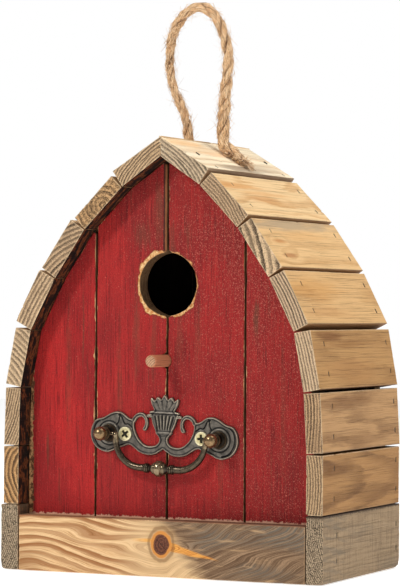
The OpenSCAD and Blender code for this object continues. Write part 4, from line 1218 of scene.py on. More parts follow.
def rail_material():
    """Front rail: cream wood with brown bands on the left, a knot with a golden tail, grey weathered wood on the right."""
    M = Mat("wood_front_rail")
    P = M.attr("bp").outputs["Vector"]
    sep = M.node("ShaderNodeSeparateXYZ")
    M.put(sep.inputs[0], P)
    z, u, w = sep.outputs            # z up 0..35, u along 0..196.4
    KU, KZ = 100.4, 20.2
    Pl = M.vm("MULTIPLY", P, (1.0, 1.0, 1.0))
    n1 = M.noise(M.vm("MULTIPLY", Pl, (0.05, 0.017, 0.05)), 1.0, 1.0, 0.4)
    n2 = M.noise(M.vm("MULTIPLY", Pl, (0.3, 0.045, 0.3)), 1.0, 2.0, 0.5)
    # bands on the left run level, then dip down to the right; on the right they sweep up to the right
    lx = M.math("DIVIDE", M.math("SUBTRACT", u, 34.0), 46.0)
    dip = M.math("MULTIPLY", M.step(lx, -0.6, 1.5, 0.0, 1.0), 15.0)
    rx = M.math("MAXIMUM", M.math("SUBTRACT", u, KU + 4.0), 0.0)
    rise = M.math("MULTIPLY", rx, 0.46)
    f = M.math("ADD", z, dip)
    f = M.math("SUBTRACT", f, rise)
    f = M.math("ADD", f, M.math("MULTIPLY", M.math("SUBTRACT", n1, 0.5), 19.0))
    f = M.math("ADD", f, M.math("MULTIPLY", M.math("SUBTRACT", n2, 0.5), 1.5))
    # the grain parts round the knot
    kx = M.math("SUBTRACT", u, KU)
    kz = M.math("SUBTRACT", z, KZ)
    kz2 = M.math("MULTIPLY_ADD", kx, 0.10, kz)
    g = M.math("ADD", M.math("POWER", M.math("DIVIDE", kx, 17.0), 2.0), M.math("POWER", M.math("DIVIDE", kz, 9.0), 2.0))
    e = M.math("POWER", 2.718, M.math("MULTIPLY", g, -1.0))
    sgn = M.step(kz, -3.0, 3.0, -1.0, 1.0)
    f = M.math("ADD", f, M.math("MULTIPLY", M.math("MULTIPLY", e, sgn), -8.0))
    period_l = M.math("DIVIDE", f, 5.6)
    t = M.math("FRACT", period_l)
    wt = M.node("ShaderNodeTexWhiteNoise", noise_dimensions="1D")
    M.put(wt.inputs["W"], M.math("FLOOR", period_l))
    band = M.ramp(t, [(0.0, 0.0), (0.30, 0.04), (0.52, 0.8), (0.86, 1.0), (0.96, 0.1), (1.0, 0.0)])
    band = M.math("MULTIPLY", band, M.lin(wt.outputs["Value"], 0, 1, 0.55, 1.0))
    t2 = M.math("FRACT", M.math("DIVIDE", f, 2.9))
    band2 = M.ramp(t2, [(0.0, 0.0), (0.4, 0.1), (0.8, 1.0), (1.0, 0.0)])
    fibre = M.noise(M.vm("MULTIPLY", M.vm("ADD", P, M.vm("SCALE", M.node("ShaderNodeCombineXYZ").outputs[0], 0.0)), (1.8, 0.05, 1.8)), 1.0, 3.0, 0.6)
    # fibres follow the bands
    comb = M.node("ShaderNodeCombineXYZ")
    M.put(comb.inputs[0], f)
    M.put(comb.inputs[1], M.math("MULTIPLY", u, 0.035))
    M.put(comb.inputs[2], w)
    fib = M.noise(M.vm("MULTIPLY", comb.outputs[0], (1.9, 1.0, 1.9)), 1.0, 3.0, 0.65)
    pores = M.noise(M.vm("MULTIPLY", P, (1.4, 1.0, 1.4)), 1.0, 3.0, 0.7)
    cream = M.mix(M.step(fib, 0.4, 0.65), srgb(232, 196, 148), srgb(204, 160, 110))
    left = M.mix(M.math("MULTIPLY", band, M.step(u, 112, 70, 0.4, 1.0)), cream, srgb(146, 92, 48))
    left = M.mix(M.step(fib, 0.54, 0.68, 0.0, 0.55), left, srgb(120, 74, 40))
    # smoky brown low on the far left, pale in the middle
    left = M.mix(M.math("MULTIPLY", M.step(u, 26, 4), M.step(z, 20, 4, 0.0, 0.55)), left, srgb(150, 104, 62))
    left = M.mix(M.math("MULTIPLY", M.step(u, 60, 92), 0.5), left, srgb(214, 184, 140))
    greyw = M.mix(M.step(fib, 0.4, 0.6), srgb(158, 128, 98), srgb(104, 80, 58))
    greyw = M.mix(M.math("MULTIPLY", band, 0.7), greyw, srgb(88, 62, 42))
    blue = M.math("MULTIPLY", M.step(n1, 0.44, 0.66), M.step(band2, 0.2, 0.9, 0.3, 1.0))
    greyw = M.mix(M.math("MULTIPLY", blue, 0.85), greyw, srgb(96, 94, 86))
    greyw = M.mix(M.step(pores, 0.5, 0.72, 0.0, 0.5), greyw, srgb(84, 62, 44))
    greyw = M.mix(M.step(n2, 0.58, 0.75, 0.0, 0.6), greyw, srgb(196, 160, 118))
    edge_r = M.math("ADD", u, M.math("ADD", M.math("MULTIPLY", M.math("SUBTRACT", z, 17.0), 0.9), M.math("MULTIPLY", M.math("SUBTRACT", n2, 0.5), 22.0)))
    col = M.mix(M.step(edge_r, 104, 122), left, greyw)
    # halo, golden tail to the right and short streaks to the left of the knot
    kr = M.vm("LENGTH", M.vm("MULTIPLY", M.vm("SUBTRACT", M.vm("ADD", P, M.vm("SCALE", M.vm("SUBTRACT", M.noise(M.vm("SCALE", P, 0.16), 1.0, 2.0, 0.5, color=True), (0.5, 0.5, 0.5)), 2.4)), (KZ, KU, 0)), (0.82, 1.0, 0)), out="Value")
    tail_c = M.math("ADD", kz, M.math("MULTIPLY", kx, 0.215))
    tail_w = M.lin(kx, 2.0, 36.0, 3.4, 0.3)
    tail = M.step(M.math("SUBTRACT", M.math("ABSOLUTE", M.math("MULTIPLY_ADD", M.math("SUBTRACT", n2, 0.5), 2.4, tail_c)), tail_w), 0.6, -0.6)
    tail = M.math("MULTIPLY", tail, M.math("MULTIPLY", M.step(kx, 0.0, 4.0), M.step(kx, 40.0, 33.0)))
    streak_l = M.math("MULTIPLY", M.step(M.math("ABSOLUTE", M.math("SUBTRACT", kz, 2.2)), 1.6, 0.5), M.math("MULTIPLY", M.step(kx, -24.0, -8.0, 0.0, 0.9), M.step(kx, -3.0, -6.0)))
    col = M.mix(M.step(kr, 13.0, 7.0, 0.0, 0.55), col, srgb(190, 152, 104))
    col = M.mix(streak_l, col, srgb(226, 164, 82))
    col = M.mix(tail, col, M.mix(M.step(fib, 0.45, 0.6), srgb(224, 160, 78), srgb(186, 114, 48)))
    col = M.mix(M.step(M.math("ABSOLUTE", M.math("SUBTRACT", kr, 8.4)), 1.5, 0.4, 0.0, 0.5), col, srgb(104, 70, 42))
    col = M.mix(M.step(kr, 7.4, 6.6), col, srgb(204, 136, 66))
    kcol = M.mix(M.lin(M.math("SINE", M.math("MULTIPLY", kr, 3.6)), -1, 1), srgb(104, 60, 42), srgb(70, 40, 30))
    kcol = M.mix(M.step(pores, 0.45, 0.7), kcol, srgb(128, 84, 62))
    col = M.mix(M.step(kr, 5.6, 5.0), col, kcol)
    crk = M.math("MULTIPLY", M.step(M.math("ABSOLUTE", M.math("MULTIPLY_ADD", M.math("SUBTRACT", n2, 0.5), 3.0, M.math("ADD", kx, kz))), 0.5, 0.15), M.step(kr, 4.8, 3.6))
    col = M.mix(M.math("MULTIPLY", crk, 0.8), col, srgb(40, 24, 18))
    ed = M.attr("ed").outputs["Fac"]
    en = M.math("ADD", ed, M.math("MULTIPLY", M.math("SUBTRACT", pores, 0.5), 2.0))
    col = M.mix(M.step(en, 0.8, 0.1, 0.0, 0.35), col, srgb(206, 170, 126))
    col = M.mix(M.step(M.math("ADD", M.math("SUBTRACT", 35.0, z), M.math("MULTIPLY", M.math("SUBTRACT", pores, 0.5), 2.5)), 0.9, 0.2, 0.0, 0.6), col, srgb(120, 70, 50))
    M.put(M.b.inputs["Base Color"], col)
    M.put(M.b.inputs["Roughness"], M.lin(fib, 0.3, 0.7, 0.62, 0.85))
    M.b.inputs["Specular IOR Level"].default_value = 0.22
    h = M.math("ADD", M.math("MULTIPLY", band, 0.4), M.math("MULTIPLY", fib, 0.9))
    h = M.math("ADD", h, M.math("MULTIPLY", pores, 0.35))
    h = M.math("ADD", h, M.math("MULTIPLY", M.step(kr, 6.4, 5.2), -0.8))
    M.put(M.b.inputs["Normal"], M.bump(h, 0.28, 0.7))
    return M.m


o = board("front_rail_board", (35.0, 196.4, 13.0), lambda q: np.column_stack([-98.2 + q[:, 1], FRONT + 0.1 + q[:, 2] * 0.985, q[:, 0]]),
          rail_material(), 71, steps=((1.3, 1.9, 2.0)))
place(o, "house", "rail_pine", "front_rail")

FLOOR_L = 2 * HALF - 0.6
o = board("floor_board_planed", (FLOOR_L, 92.6, 11.0), lambda q: np.column_stack([-HALF + 0.3 + q[:, 0], -39.3 + q[:, 1], 11.0 - q[:, 2]]),
          wood("wood_floor", pith=(70, 50), spacing=4.0, warp=5.0, grain=(0, 1, 0), seed=2.2, long_a=(214, 178, 130), long_b=(178, 132, 84),
               patches=[(60, 40, 30, 40, 0.4, (170, 130, 90))], knots=[(140, 60, 5.0, 9.0), (52, 30, 4.0, -8.0)]),
          81, steps=(4, 4, 3))
place(o, "house", "inner_wood", "floor_board")

# ---------------------------------------------------------------- planks

FSEAM = [-50.6, -0.7, 52.4]
BSEAM = [-33.0, 33.0]


def apex(side):
    p = corner(side, 6)
    return p[1] + p[0] * math.tan(math.radians(SLOPE[side][6]))


arch_r = [np.array([HALF, 0.0])] + [corner("right", i) for i in range(7)]
arch_l = [np.array([HALF, 0.0])] + [corner("left", i) for i in range(7)]
ARCH = np.array([[x, z] for x, z in arch_r] + [[0.0, min(apex("left"), apex("right")) - 0.4]] + [[-x, z] for x, z in arch_l[::-1]])
arch_sdf = seg_sdf(ARCH)


def plank_sdf(x0, x1, holes, seed, zmin=0.0, ragged=0.35):
    def f(p):
        d = np.minimum(arch_sdf(p) - 0.15, np.minimum(p[:, 0] - x0, x1 - p[:, 0]))
        d = np.minimum(d, p[:, 1] - zmin)
        q = np.column_stack([p[:, 0] * 0.5, p[:, 1] * 0.11, np.zeros(len(p)) + seed])
        d = d - ragged * sstep(fbm(q, seed, 3), 0.45, 0.8)
        for cx, cz, r in holes:
            dh = np.hypot(p[:, 0] - cx, p[:, 1] - cz) - r
            ang = np.column_stack([p[:, 0] * 0.35, p[:, 1] * 0.35, np.zeros(len(p)) + 3.0])
            d = np.minimum(d, dh - 0.35 * sstep(fbm(ang, 77, 3), 0.4, 0.8))
        return d
    return f


def plank(name, x0, x1, holes, y0, t, m, seed, node, slot, h, facing=-1, groove=1.0):
    """facing -1: the good side looks forward. Local attribute: house x, z and depth below the good face."""
    f = plank_sdf(x0, x1, holes, seed, ragged=0.35 if facing < 0 else 0.0)
    zs = max(apex("left"), apex("right"))
    top = 0.0
    probe = np.linspace(x0, x1, 9)
    for z in np.arange(40, zs, 0.5):
        if (arch_sdf(np.column_stack([probe, np.full(9, z)])) > 0).any():
            top = z
    rings = (0.62, 0.36, 0.16, 0.04, 0.0)

    def front(p, d):
        r = 0.7
        k = np.clip(1 - d / r, 0, 1)
        w = r * (1 - np.sqrt(np.maximum(0, 1 - k ** 2)))
        q = np.column_stack([p[:, 0], p[:, 1], np.zeros(len(p))])
        w = w + 0.12 * fbm(q * [0.9, 0.05, 1], seed + 2, 3) + 0.22 * fbm(q * [0.1, 0.012, 1], seed + 3, 2)
        w = w + 0.5 * sstep(fbm(q * [0.35, 0.1, 1], seed + 4, 2), 0.76, 0.9) * sstep(d, 3.5, 0.5)
        # wear round the entrance
        for cx, cz, rr in holes:
            if rr > 10:
                dh = np.hypot(p[:, 0] - cx, p[:, 1] - cz) - rr
                w = w + 0.35 * sstep(dh, 3.0, 0.0) * fbm(q * [0.4, 0.3, 1], seed + 6, 2)
        return w

    def back(p, d):
        k = np.clip(1 - d / 0.5, 0, 1)
        return t - 0.5 * (1 - np.sqrt(np.maximum(0, 1 - k ** 2))) - 0.05

    v, faces, ed = slab(f, (x0 - 1, x1 + 1, -1, top + 3), h, 0.85, rings, front, back, [0.08, 0.2, 0.4, 0.6, 0.8, 0.94])
    x, z, w = v.T
    q = np.column_stack([x, z, w])
    y = y0 - facing * w
    ref = np.column_stack([x, z, w])
    o = make_object(name, np.column_stack([x, y, z]), faces, m, attrs={"bp": ref, "ed": ed})
    return place(o, "house", slot, node)


HF = 1.0
ent = (-0.6, 181.0, 19.6)
per = (-2.0, 133.3, 3.95)
edges = [-HALF + 0.3] + FSEAM + [HALF - 0.3]
names = ["outer_left", "inner_left", "inner_right", "outer_right"]
STREAKS = {
    "outer_left": [(-70, 120, 3, 60, 0.25)],
    "inner_left": [(-22, 150, 4, 40, 0.4), (-10, 148, 3, 30, 0.35), (-34, 110, 3, 50, 0.3), (-6, 226, 5, 24, 0.55), (-18, 212, 8, 12, 0.4)],
    "inner_right": [(8, 150, 4, 26, 0.35), (20, 146, 3, 30, 0.25), (3, 205, 4, 20, 0.4), (14, 212, 4, 12, 0.4), (36, 70, 3, 50, 0.25)],
    "outer_right": [(60, 160, 2.5, 16, 0.7), (78, 100, 3, 60, 0.25)],
}
for k, nm in enumerate(names):
    x0 = edges[k] + (0.6 if k else 0)
    x1 = edges[k + 1] - (0.6 if k < 3 else 0)
    holes = [ent, per] if nm.startswith("inner") else []
    plank("front_plank_%s_board" % nm, x0, x1, holes, PLANK_Y, FRONT_T, paint("paint_" + nm, 1.0 + k * 2.3, STREAKS[nm]), 200 + k * 9,
          "front_plank_" + nm, "barn_red", HF)

bedges = [-HALF + 0.3] + BSEAM + [HALF - 0.3]
BACKLOOK = [
    dict(pith=(-70, 60), spacing=4.2, warp=6.0, long_a=(220, 182, 132), long_b=(184, 134, 84), knots=[(-66, 150, 5.5, 12.0)], grey=0.2, seed=1.4),
    dict(pith=(4, 34), spacing=4.6, warp=7.0, long_a=(212, 172, 122), long_b=(172, 122, 74), knots=[(14, 205, 4.5, 10.0), (-20, 118, 3.5, -8.0)], grey=0.3, seed=5.5),
    dict(pith=(60, 70), spacing=4.0, warp=5.0, long_a=(222, 186, 138), long_b=(182, 136, 88), knots=[(58, 60, 6.0, -12.0)], grey=0.15, seed=9.2),
]
for k, nm in enumerate(["left", "middle", "right"]):
    x0 = bedges[k] + (0.04 if k else 0)
    x1 = bedges[k + 1] - (0.04 if k < 2 else 0)
    holes = [(0.0, 66.0, 20.0)] if nm == "middle" else []
    # the inner faces of the back planks get painted shade, near-black, inside the box
    plank("back_plank_%s_board" % nm, x0, x1, holes, BACK - 0.05, BACK_T - 0.1,
          wood("wood_back_" + nm, grain=(0, 0, 1), tilt=0.01, long_contrast=0.65, rough=0.75, inner_face_shade=((0, -1, 0), 1.0), **BACKLOOK[k]), 300 + k * 9,
          "back_plank_" + nm, "inner_wood", 1.5, facing=1)

# ---------------------------------------------------------------- perch

pr = []
tip = FRONT_T + 21.5
R = 3.9
for r, w in [(0.001, 0.0), (R - 0.5, 0.0), (R - 0.1, 0.15), (R, 0.5)]:
    pr.append((r, w))
for w in np.linspace(2, tip - 2.6, 26):
    pr.append((R - 0.04, w))
for a in np.linspace(8, 88, 12):
    pr.append((R - 2.3 + 2.3 * math.cos(math.radians(a)), tip - 2.3 + 2.3 * math.sin(math.radians(a)) - 0.02))
pr.append((0.9, tip - 0.03))
pr.append((0.0, tip - 0.05))
pv, pf = lathe(pr, 56)
nz = fbm(np.column_stack([pv[:, 0] * 0.7, pv[:, 1] * 0.7, pv[:, 2] * 0.09]), 5, 3) - 0.5
rad = np.hypot(pv[:, 0], pv[:, 1])
sc = 1 - (0.11 * (nz + 0.5)) / 3.9
low_y = -39.5
world = np.column_stack([-2.0 + pv[:, 0] * sc, low_y - pv[:, 2], 133.3 + pv[:, 1] * sc])
bpv = np.column_stack([pv[:, 0] + 3.9, pv[:, 2], pv[:, 1] + 3.9])
PERCH = wood("wood_perch", grain=(0, 1, 0), pith=(16, -9), spacing=1.3, warp=0.8, long_a=(206, 138, 100), long_b=(166, 96, 64), long_contrast=0.45,
             end_a=(232, 180, 140), end_b=(176, 112, 76), end_contrast=0.6, speckle=0.35, streak=0.3, seed=3.3, edge_light=0.0, rough=0.62)
o = make_object("perch_dowel_turned", world, pf, PERCH, attrs={"bp": bpv, "ed": np.full(len(pv), 5.0)})
place(o, "house", "perch_wood", "perch_dowel")

# ---------------------------------------------------------------- drawer pull

TURN = math.radians(2.0)
PX, PZ = -2.2, 86.3
PLATE_T = 2.0
POST_X, SCREW_X = 38.0, 26.4
PLATE_Y = PLANK_Y - PLATE_T
PIN_Y = PLATE_Y - 4


def pull_world(x, z, y):
    """Pull's own x across and z up (mm) to the house, at depth y."""
    c, s = math.cos(TURN), math.sin(TURN)
    return np.column_stack([PX + x * c + z * s, y, PZ - x * s + z * c])


# right half of the outline, traced as closed shapes that are joined
urn = [(0, -5), (2.9, -5), (2.8, -2.4), (3.5, -0.5), (5.7, 0.5), (5.8, 2), (7.3, 4.8), (8.3, 7.5), (9.2, 10.8), (9.9, 12.6), (10.5, 13.0),
       (10.4, 14.4), (7.2, 14.7), (7.6, 16.0), (8.9, 17.9), (9.9, 20.6), (9.8, 23.2), (8.2, 22.4), (6.7, 20.9), (6.1, 22.6), (4.9, 23.8),
       (3.2, 22.9), (2.3, 21.7), (1.6, 23.6), (0.3, 25.0), (0, 25)]
urn = [(-x, z) for x, z in urn[::-1]] + urn
lobe = [(22.1, 9.6), (24.0, 9.9), (26.2, 11.2), (28.6, 13.1), (32, 13.9), (35.1, 13.5), (38.1, 12.2), (41.1, 10.2), (44.1, 9.0), (47.1, 8.5),
        (48.8, 6.9), (50.4, 4), (51.2, 0.2), (50.9, -3.2), (49.6, -6.5), (47.2, -9.5), (44, -11.3), (40.1, -12.4), (37.1, -12), (34.1, -10.6),
        (30.5, -9.0), (27.3, -7.9), (24.4, -6.6), (22.1, -7.2), (19.7, -8.9), (16.6, -11), (12.8, -12.3), (8.2, -12.5), (4.5, -11.4),
        (1.6, -9.1), (0, -7.9), (-1, -6.0), (2.9, -4), (4.7, -5.7), (8.5, -6.7), (12.3, -6.3), (15.3, -4.4), (17.7, -1.9), (19.8, 2.1),
        (20.7, 5.4), (20.4, 8.1), (21.0, 9.4)]
hook = [(19.0, 10.1), (16.7, 11.3), (14.8, 11.2), (13.5, 9.5), (13.2, 7.5), (13.6, 5.8), (14.8, 4.3), (14.6, 3.0), (13.7, 2.5), (12.2, 2.8),
        (11.2, 4.9), (10.8, 7.3), (11.2, 10), (12.1, 12), (13.8, 13.6), (16.1, 14.2), (18.4, 13.8), (20.6, 12.2), (22.4, 9.9), (22.6, 7.5), (20.0, 7.2)]


def smooth_poly(pts, n=3):
    """Rounds a traced outline a little."""
    p = np.array(pts, float)
    for _ in range(n):
        a = np.roll(p, -1, 0)
        p = np.stack([p * 0.75 + a * 0.25, p * 0.25 + a * 0.75], 1).reshape(-1, 2)
    return p


urn = [(x, z + (0.9 if z > 0 else 0)) for x, z in urn]
s_urn = seg_sdf(smooth_poly(urn, 2))
s_mid = seg_sdf(smooth_poly([(-6.0, -6.2), (-3.3, -4.2), (-2.9, -1.5), (2.9, -1.5), (3.3, -4.2), (6.0, -6.2), (3.6, -10.6), (1.4, -9.4), (0, -8.2), (-1.4, -9.4), (-3.6, -10.6)], 1))
s_lobe = seg_sdf(smooth_poly(lobe, 2))
s_hook = seg_sdf(smooth_poly(hook, 2))


def plate_sdf(p):
    a = np.column_stack([np.abs(p[:, 0]), p[:, 1]])
    d = np.maximum(np.maximum(s_urn(p), s_mid(p)), np.maximum(s_lobe(a), s_hook(a)))
    # small bridge where the hook meets the rim of the urn
    br = 1.1 - np.hypot(np.clip(np.abs(a[:, 0] - 10.3) - 1.0, 0, None), a[:, 1] - 12.2)
    return np.maximum(d, br)


def line_dist(p, pts):
    pts = np.array(pts, float)
    best = np.full(len(p), 1e9)
    for a, b in zip(pts[:-1], pts[1:]):
        ab = b - a
        t = np.clip(((p - a) @ ab) / (ab @ ab), 0, 1)
        best = np.minimum(best, np.linalg.norm(p - a - t[:, None] * ab, axis=1))
    return best


S_LINE = catmull([(22.3, 4.4), (24.6, 6.2), (27.0, 6.1), (28.4, 8.0), (29.6, 10.6), (31.6, 11.6)], 6)
S_LINE2 = catmull([(30.4, 12.9), (31.0, 10.6), (31.6, 7.6), (33.0, 5.4)], 6)
S_LINE3 = catmull([(44.6, 7.6), (47.4, 5.0), (48.6, 0.4), (47.8, -4.2), (44.6, -8.6), (40.2, -10.2)], 6)


def relief(p, d, tone=False):
    """Height of the plate's face above its back, mm; or how light (1) or dark (-1) the colour is there: patina in the
    hollows, rubbed raised places, and a painted highlight along the rounded rim.
    """
    a = np.column_stack([np.abs(p[:, 0]), p[:, 1]])
    x, z = a.T
    # painted highlight along the rounded rim, with a dark band of patina in the sunken field inside it
    tn = 0.95 * np.exp(-((d - 0.5) / 0.3) ** 2) - 0.8 * np.exp(-((d - 1.45) / 0.4) ** 2)
    z = np.where((z > 0) & (x < 10.8), z - 0.9, z)
    r = 0.75
    k = np.clip(1 - d / r, 0, 1)
    h = 1.55 * np.sqrt(np.maximum(0.02, 1 - k ** 2)) + 0.25
    # raised rim, then a slightly sunken field
    h = h + 0.26 * np.exp(-((d - 0.7) / 0.34) ** 2) - 0.26 * sstep(d, 1.1, 2.0)
    inner = sstep(d, 0.7, 1.5)
    u_body = (z > 2.3) & (z < 12.6) & (x < 9.6)
    # flutes fan out up the urn
    fan = x / (5.6 + 0.36 * (z - 2.3))
    fl = np.cos(fan * np.pi * 2 * 3.5)
    arc_top = 12.6 - 0.9 * (x / 9) ** 2
    m = sstep(z, 2.6, 3.6) * sstep(z, arc_top, arc_top - 1.0) * u_body * inner
    h = h + m * (0.55 * fl + 0.1)
    tn = tn + m * (0.9 * fl - 0.1)
    # rim and foot bands
    for zz, wd, am in ((13.7, 0.45, 0.5), (1.2, 0.5, 0.5), (-0.9, 0.35, 0.3)):
        h = h + am * np.exp(-((z - zz + 0.012 * x ** 2 * (zz > 10)) / wd) ** 2) * (x < 10.6) * sstep(d, 0.2, 0.8)
    h = h - 0.5 * np.exp(-((z - 12.75 + 0.006 * x ** 2) / 0.3) ** 2) * (x < 9.8) * sstep(d, 0.3, 1.0)
    # leaves: five, each domed with a centre vein, dark valleys between
    for cx, ang_ in ((0.0, 0.0), (4.4, 0.36), (8.0, 0.66)):
        pass
    leaf = (z > 14.9) & (x < 10.5)
    th = np.arctan2(x, np.maximum(z - 9.5, 0.1))
    ph = th / 0.315
    near = np.abs(ph - np.round(ph))
    lf = 0.45 * np.cos(near * np.pi) ** 2 - 0.4 * np.exp(-((near - 0.5) / 0.09) ** 2) - 0.42 * np.exp(-(near / 0.07) ** 2)
    h = h + leaf * sstep(z, 14.9, 15.9) * lf * sstep(d, 0.1, 0.8)
    tn = tn + leaf * sstep(z, 14.9, 15.9) * lf * 1.5 * sstep(d, 0.1, 0.8)
    # engraved lines on the lobes and along the scroll
    for ln, am, wd in ((S_LINE, 0.75, 0.42), (S_LINE2, 0.6, 0.38), (S_LINE3, 0.6, 0.36)):
        h = h - am * np.exp(-(line_dist(a, ln) / wd) ** 2) * inner
        tn = tn - 1.5 * np.exp(-(line_dist(a, ln) / (wd * 1.1)) ** 2) * inner + 0.5 * np.exp(-((line_dist(a, ln) - 0.85) / 0.3) ** 2) * inner
    # ring round the post, seat under the screw
    rp = np.hypot(x - POST_X, z)
    h = h + 0.45 * np.exp(-((rp - 6.4) / 0.5) ** 2) - 0.35 * np.exp(-((rp - 7.6) / 0.45) ** 2) + 0.25 * sstep(rp, 6.0, 5.0)
    tn = tn + 0.6 * np.exp(-((rp - 6.4) / 0.45) ** 2) - 1.0 * np.exp(-((rp - 7.5) / 0.5) ** 2) - 0.7 * sstep(rp, 6.2, 5.2)
    tn = tn + 0.6 * np.exp(-((z - 13.7) / 0.4) ** 2) * (x < 10.6) - 1.1 * np.exp(-((z - 12.75) / 0.35) ** 2) * (x < 9.8) - 0.9 * np.exp(-((z - 14.7) / 0.3) ** 2) * (x < 9.0)
    tn = tn + 0.5 * np.exp(-((z - 1.2) / 0.4) ** 2) * (x < 6) - 0.8 * np.exp(-((z - 2.2) / 0.35) ** 2) * (x < 6) - 0.8 * np.exp(-((z + 0.1) / 0.3) ** 2) * (x < 4.5)
    rs = np.hypot(x - SCREW_X, z)
    h = np.where(rs < 4.6, np.minimum(h, 1.75), h)
    q = np.column_stack([p[:, 0], p[:, 1], np.zeros(len(p))])
    if tone:
        return tn
    h = h + 0.16 * (fbm(q * 0.55, 3, 3) - 0.5) + 0.07 * (fbm(q * 2.2, 8, 2) - 0.5)
    return np.clip(h, 0.25, 2.75)


HP = 0.36
pl_v, pl_f, pl_d = slab(plate_sdf, (-52, 52, -13.5, 26), HP, 0.5, (0.36, 0.22, 0.1, 0.02, 0.0),
                        lambda p, d: -relief(p, d), lambda p, d: np.zeros(len(p)) - 0.02, [0.45])
hh = -pl_v[:, 2]
# painted shade: the plate's side walls and back are marked near-black
wear_and_painted_light = np.where(hh > 0.6, np.clip(relief(pl_v[:, :2], pl_d, tone=True), -0.75, 1.0), -0.7)
BRONZE = metal("antique_bronze", (82, 77, 70), (114, 107, 97), (204, 190, 164), rough=0.46, scale=0.3, metallic=0.55, wear_and_painted_light=0.75, grime=0.5)
o = make_object("pull_backplate_cast", pull_world(pl_v[:, 0], pl_v[:, 1], PLANK_Y + pl_v[:, 2]), pl_f, BRONZE, attrs={"wear_and_painted_light": wear_and_painted_light})
place(o, "house", "antique_bronze", "pull_backplate")

# posts: riveted foot, cone, neck, collar and ball
prof = [(0.0, 0.0), (1.9, 0.0), (2.0, 0.1), (2.0, 1.9), (5.2, 1.95), (5.5, 2.2), (5.4, 2.6), (4.9, 2.85), (4.75, 2.7), (4.5, 2.75), (4.4, 3.15),
        (4.0, 3.4), (3.5, 3.6), (3.25, 4.3), (3.1, 5.4), (3.1, 6.6), (3.3, 7.6), (3.7, 8.2), (4.1, 8.5), (4.35, 8.75), (4.4, 9.05), (4.2, 9.4),
        (3.6, 9.6), (3.0, 9.75), (2.75, 9.9)]
for a in np.linspace(-50, 86, 22):
    prof.append((4.4 * math.cos(math.radians(a)), PLATE_T + 11.5 + 4.4 * math.sin(math.radians(a))))
prof.append((0.0, PLATE_T + 11.5 + 4.4))
BRASS = metal("antique_brass", (98, 76, 52), (134, 106, 74), (206, 176, 132), rough=0.27, scale=0.5, metallic=0.85, wear_and_painted_light=0.5, grime=0.5)
for nm, sgn in (("left", -1), ("right", 1)):
    qv, qf = lathe(prof, 64)
    r_ = np.hypot(qv[:, 0], qv[:, 1])
    qv[:, :2] *= (1 - 0.012 * (fbm(qv * 0.8, 12, 2)))[:, None]
    w_ = qv[:, 2]
    # the pin sits in a cross bore: a shallow flat cup on the neck towards the bail
    toward = -sgn * qv[:, 0]
    cup = np.exp(-((w_ - 6.0) ** 2 + qv[:, 1] ** 2) / 1.6) * (toward > 0) * 0.35
    qv[:, 0] += sgn * cup
    wr = sstep(w_, 9.8, 11.5) * 0.55 + 0.6 * np.exp(-((w_ - 9.0) / 0.35) ** 2) + 0.35 * np.exp(-((w_ - 2.4) / 0.3) ** 2)
    # painted shade: the foot, cone and neck recess are marked dark, and the underside of the ball a little dark
    wr = np.where(w_ < 9.7, np.minimum(wr, 0.4) - 0.62, wr)
    wr = np.where((w_ > 9.7) & (w_ < 11.0), -0.25, wr)
    o = make_object("pull_post_%s_turned" % nm, pull_world(sgn * POST_X + qv[:, 0], qv[:, 1], PLANK_Y - w_), qf, BRASS, attrs={"wear_and_painted_light": wr})
    place(o, "house", "antique_brass", "pull_post_" + nm)

# bail: pins, elbows, swept arms, rings and the central bead, turned as one
DROP = 20.0
half = []
for x in np.linspace(37.4, 32.6, 9):
    half.append((x, 0.0, 1.1))
half += [(32.0, -0.02, 1.15), (31.7, -0.05, 1.5), (31.4, -0.2, 1.85), (31.1, -0.55, 2.0), (31.0, -1.1, 1.85), (31.0, -1.7, 1.75)]
for a in np.linspace(2, 90, 34):
    t = math.radians(a)
    half.append((13 + 18 * math.cos(t), -2 - 18 * math.sin(t), 1.75 + 0.5 * math.sin(t)))
mid = [(12.4, 2.28), (11.8, 2.3), (11.2, 2.32), (10.7, 2.3), (10.35, 2.2), (10.2, 2.45), (10.0, 2.85), (9.75, 3.0), (9.5, 2.95), (9.3, 2.6), (9.15, 2.3),
       (9.0, 2.6), (8.8, 3.0), (8.55, 3.1), (8.3, 3.0), (8.1, 2.6), (7.95, 2.3), (7.8, 2.6), (7.6, 2.9), (7.35, 3.0), (7.1, 2.85), (6.9, 2.4),
       (6.7, 2.0), (6.4, 1.8), (6.0, 1.9), (5.4, 2.35), (4.8, 2.85), (4.2, 3.3), (3.6, 3.6), (3.1, 3.7), (2.8, 3.55), (2.55, 3.35), (2.4, 3.6),
       (2.3, 3.6), (2.15, 4.2), (1.8, 4.7), (1.3, 4.95), (0.7, 5.06), (0.0, 5.1)]
for x, r in mid:
    half.append((x, -DROP, r))
half = np.array(half)
full = np.concatenate([half, np.column_stack([-half[-2::-1, 0], half[-2::-1, 1], half[-2::-1, 2]])])
path3 = np.column_stack([full[:, 0], np.zeros(len(full)), full[:, 1]])
bv_, bf2 = tube(path3, full[:, 2], 40)
n_r = len(full)
rad_at = np.concatenate([np.repeat(full[:, 2], 40), full[:1, 2], full[-1:, 2]])
xs_at = np.concatenate([np.repeat(full[:, 0], 40), full[:1, 0], full[-1:, 0]])
bv_ = bv_ - 0
wear_and_painted_light = np.where(np.abs(xs_at) < 11, sstep(rad_at, 2.5, 3.2) * 0.7, 0.15)
wear_and_painted_light = wear_and_painted_light + 0.35 * sstep(bv_[:, 1], 0.3, -1.4) * (np.abs(xs_at) > 10.4) + np.where(np.abs(xs_at) > 30.6, 0.45, 0)
wear_and_painted_light = wear_and_painted_light + np.where((np.abs(xs_at) < 2.2) & (rad_at > 4.0), 0.45, 0)
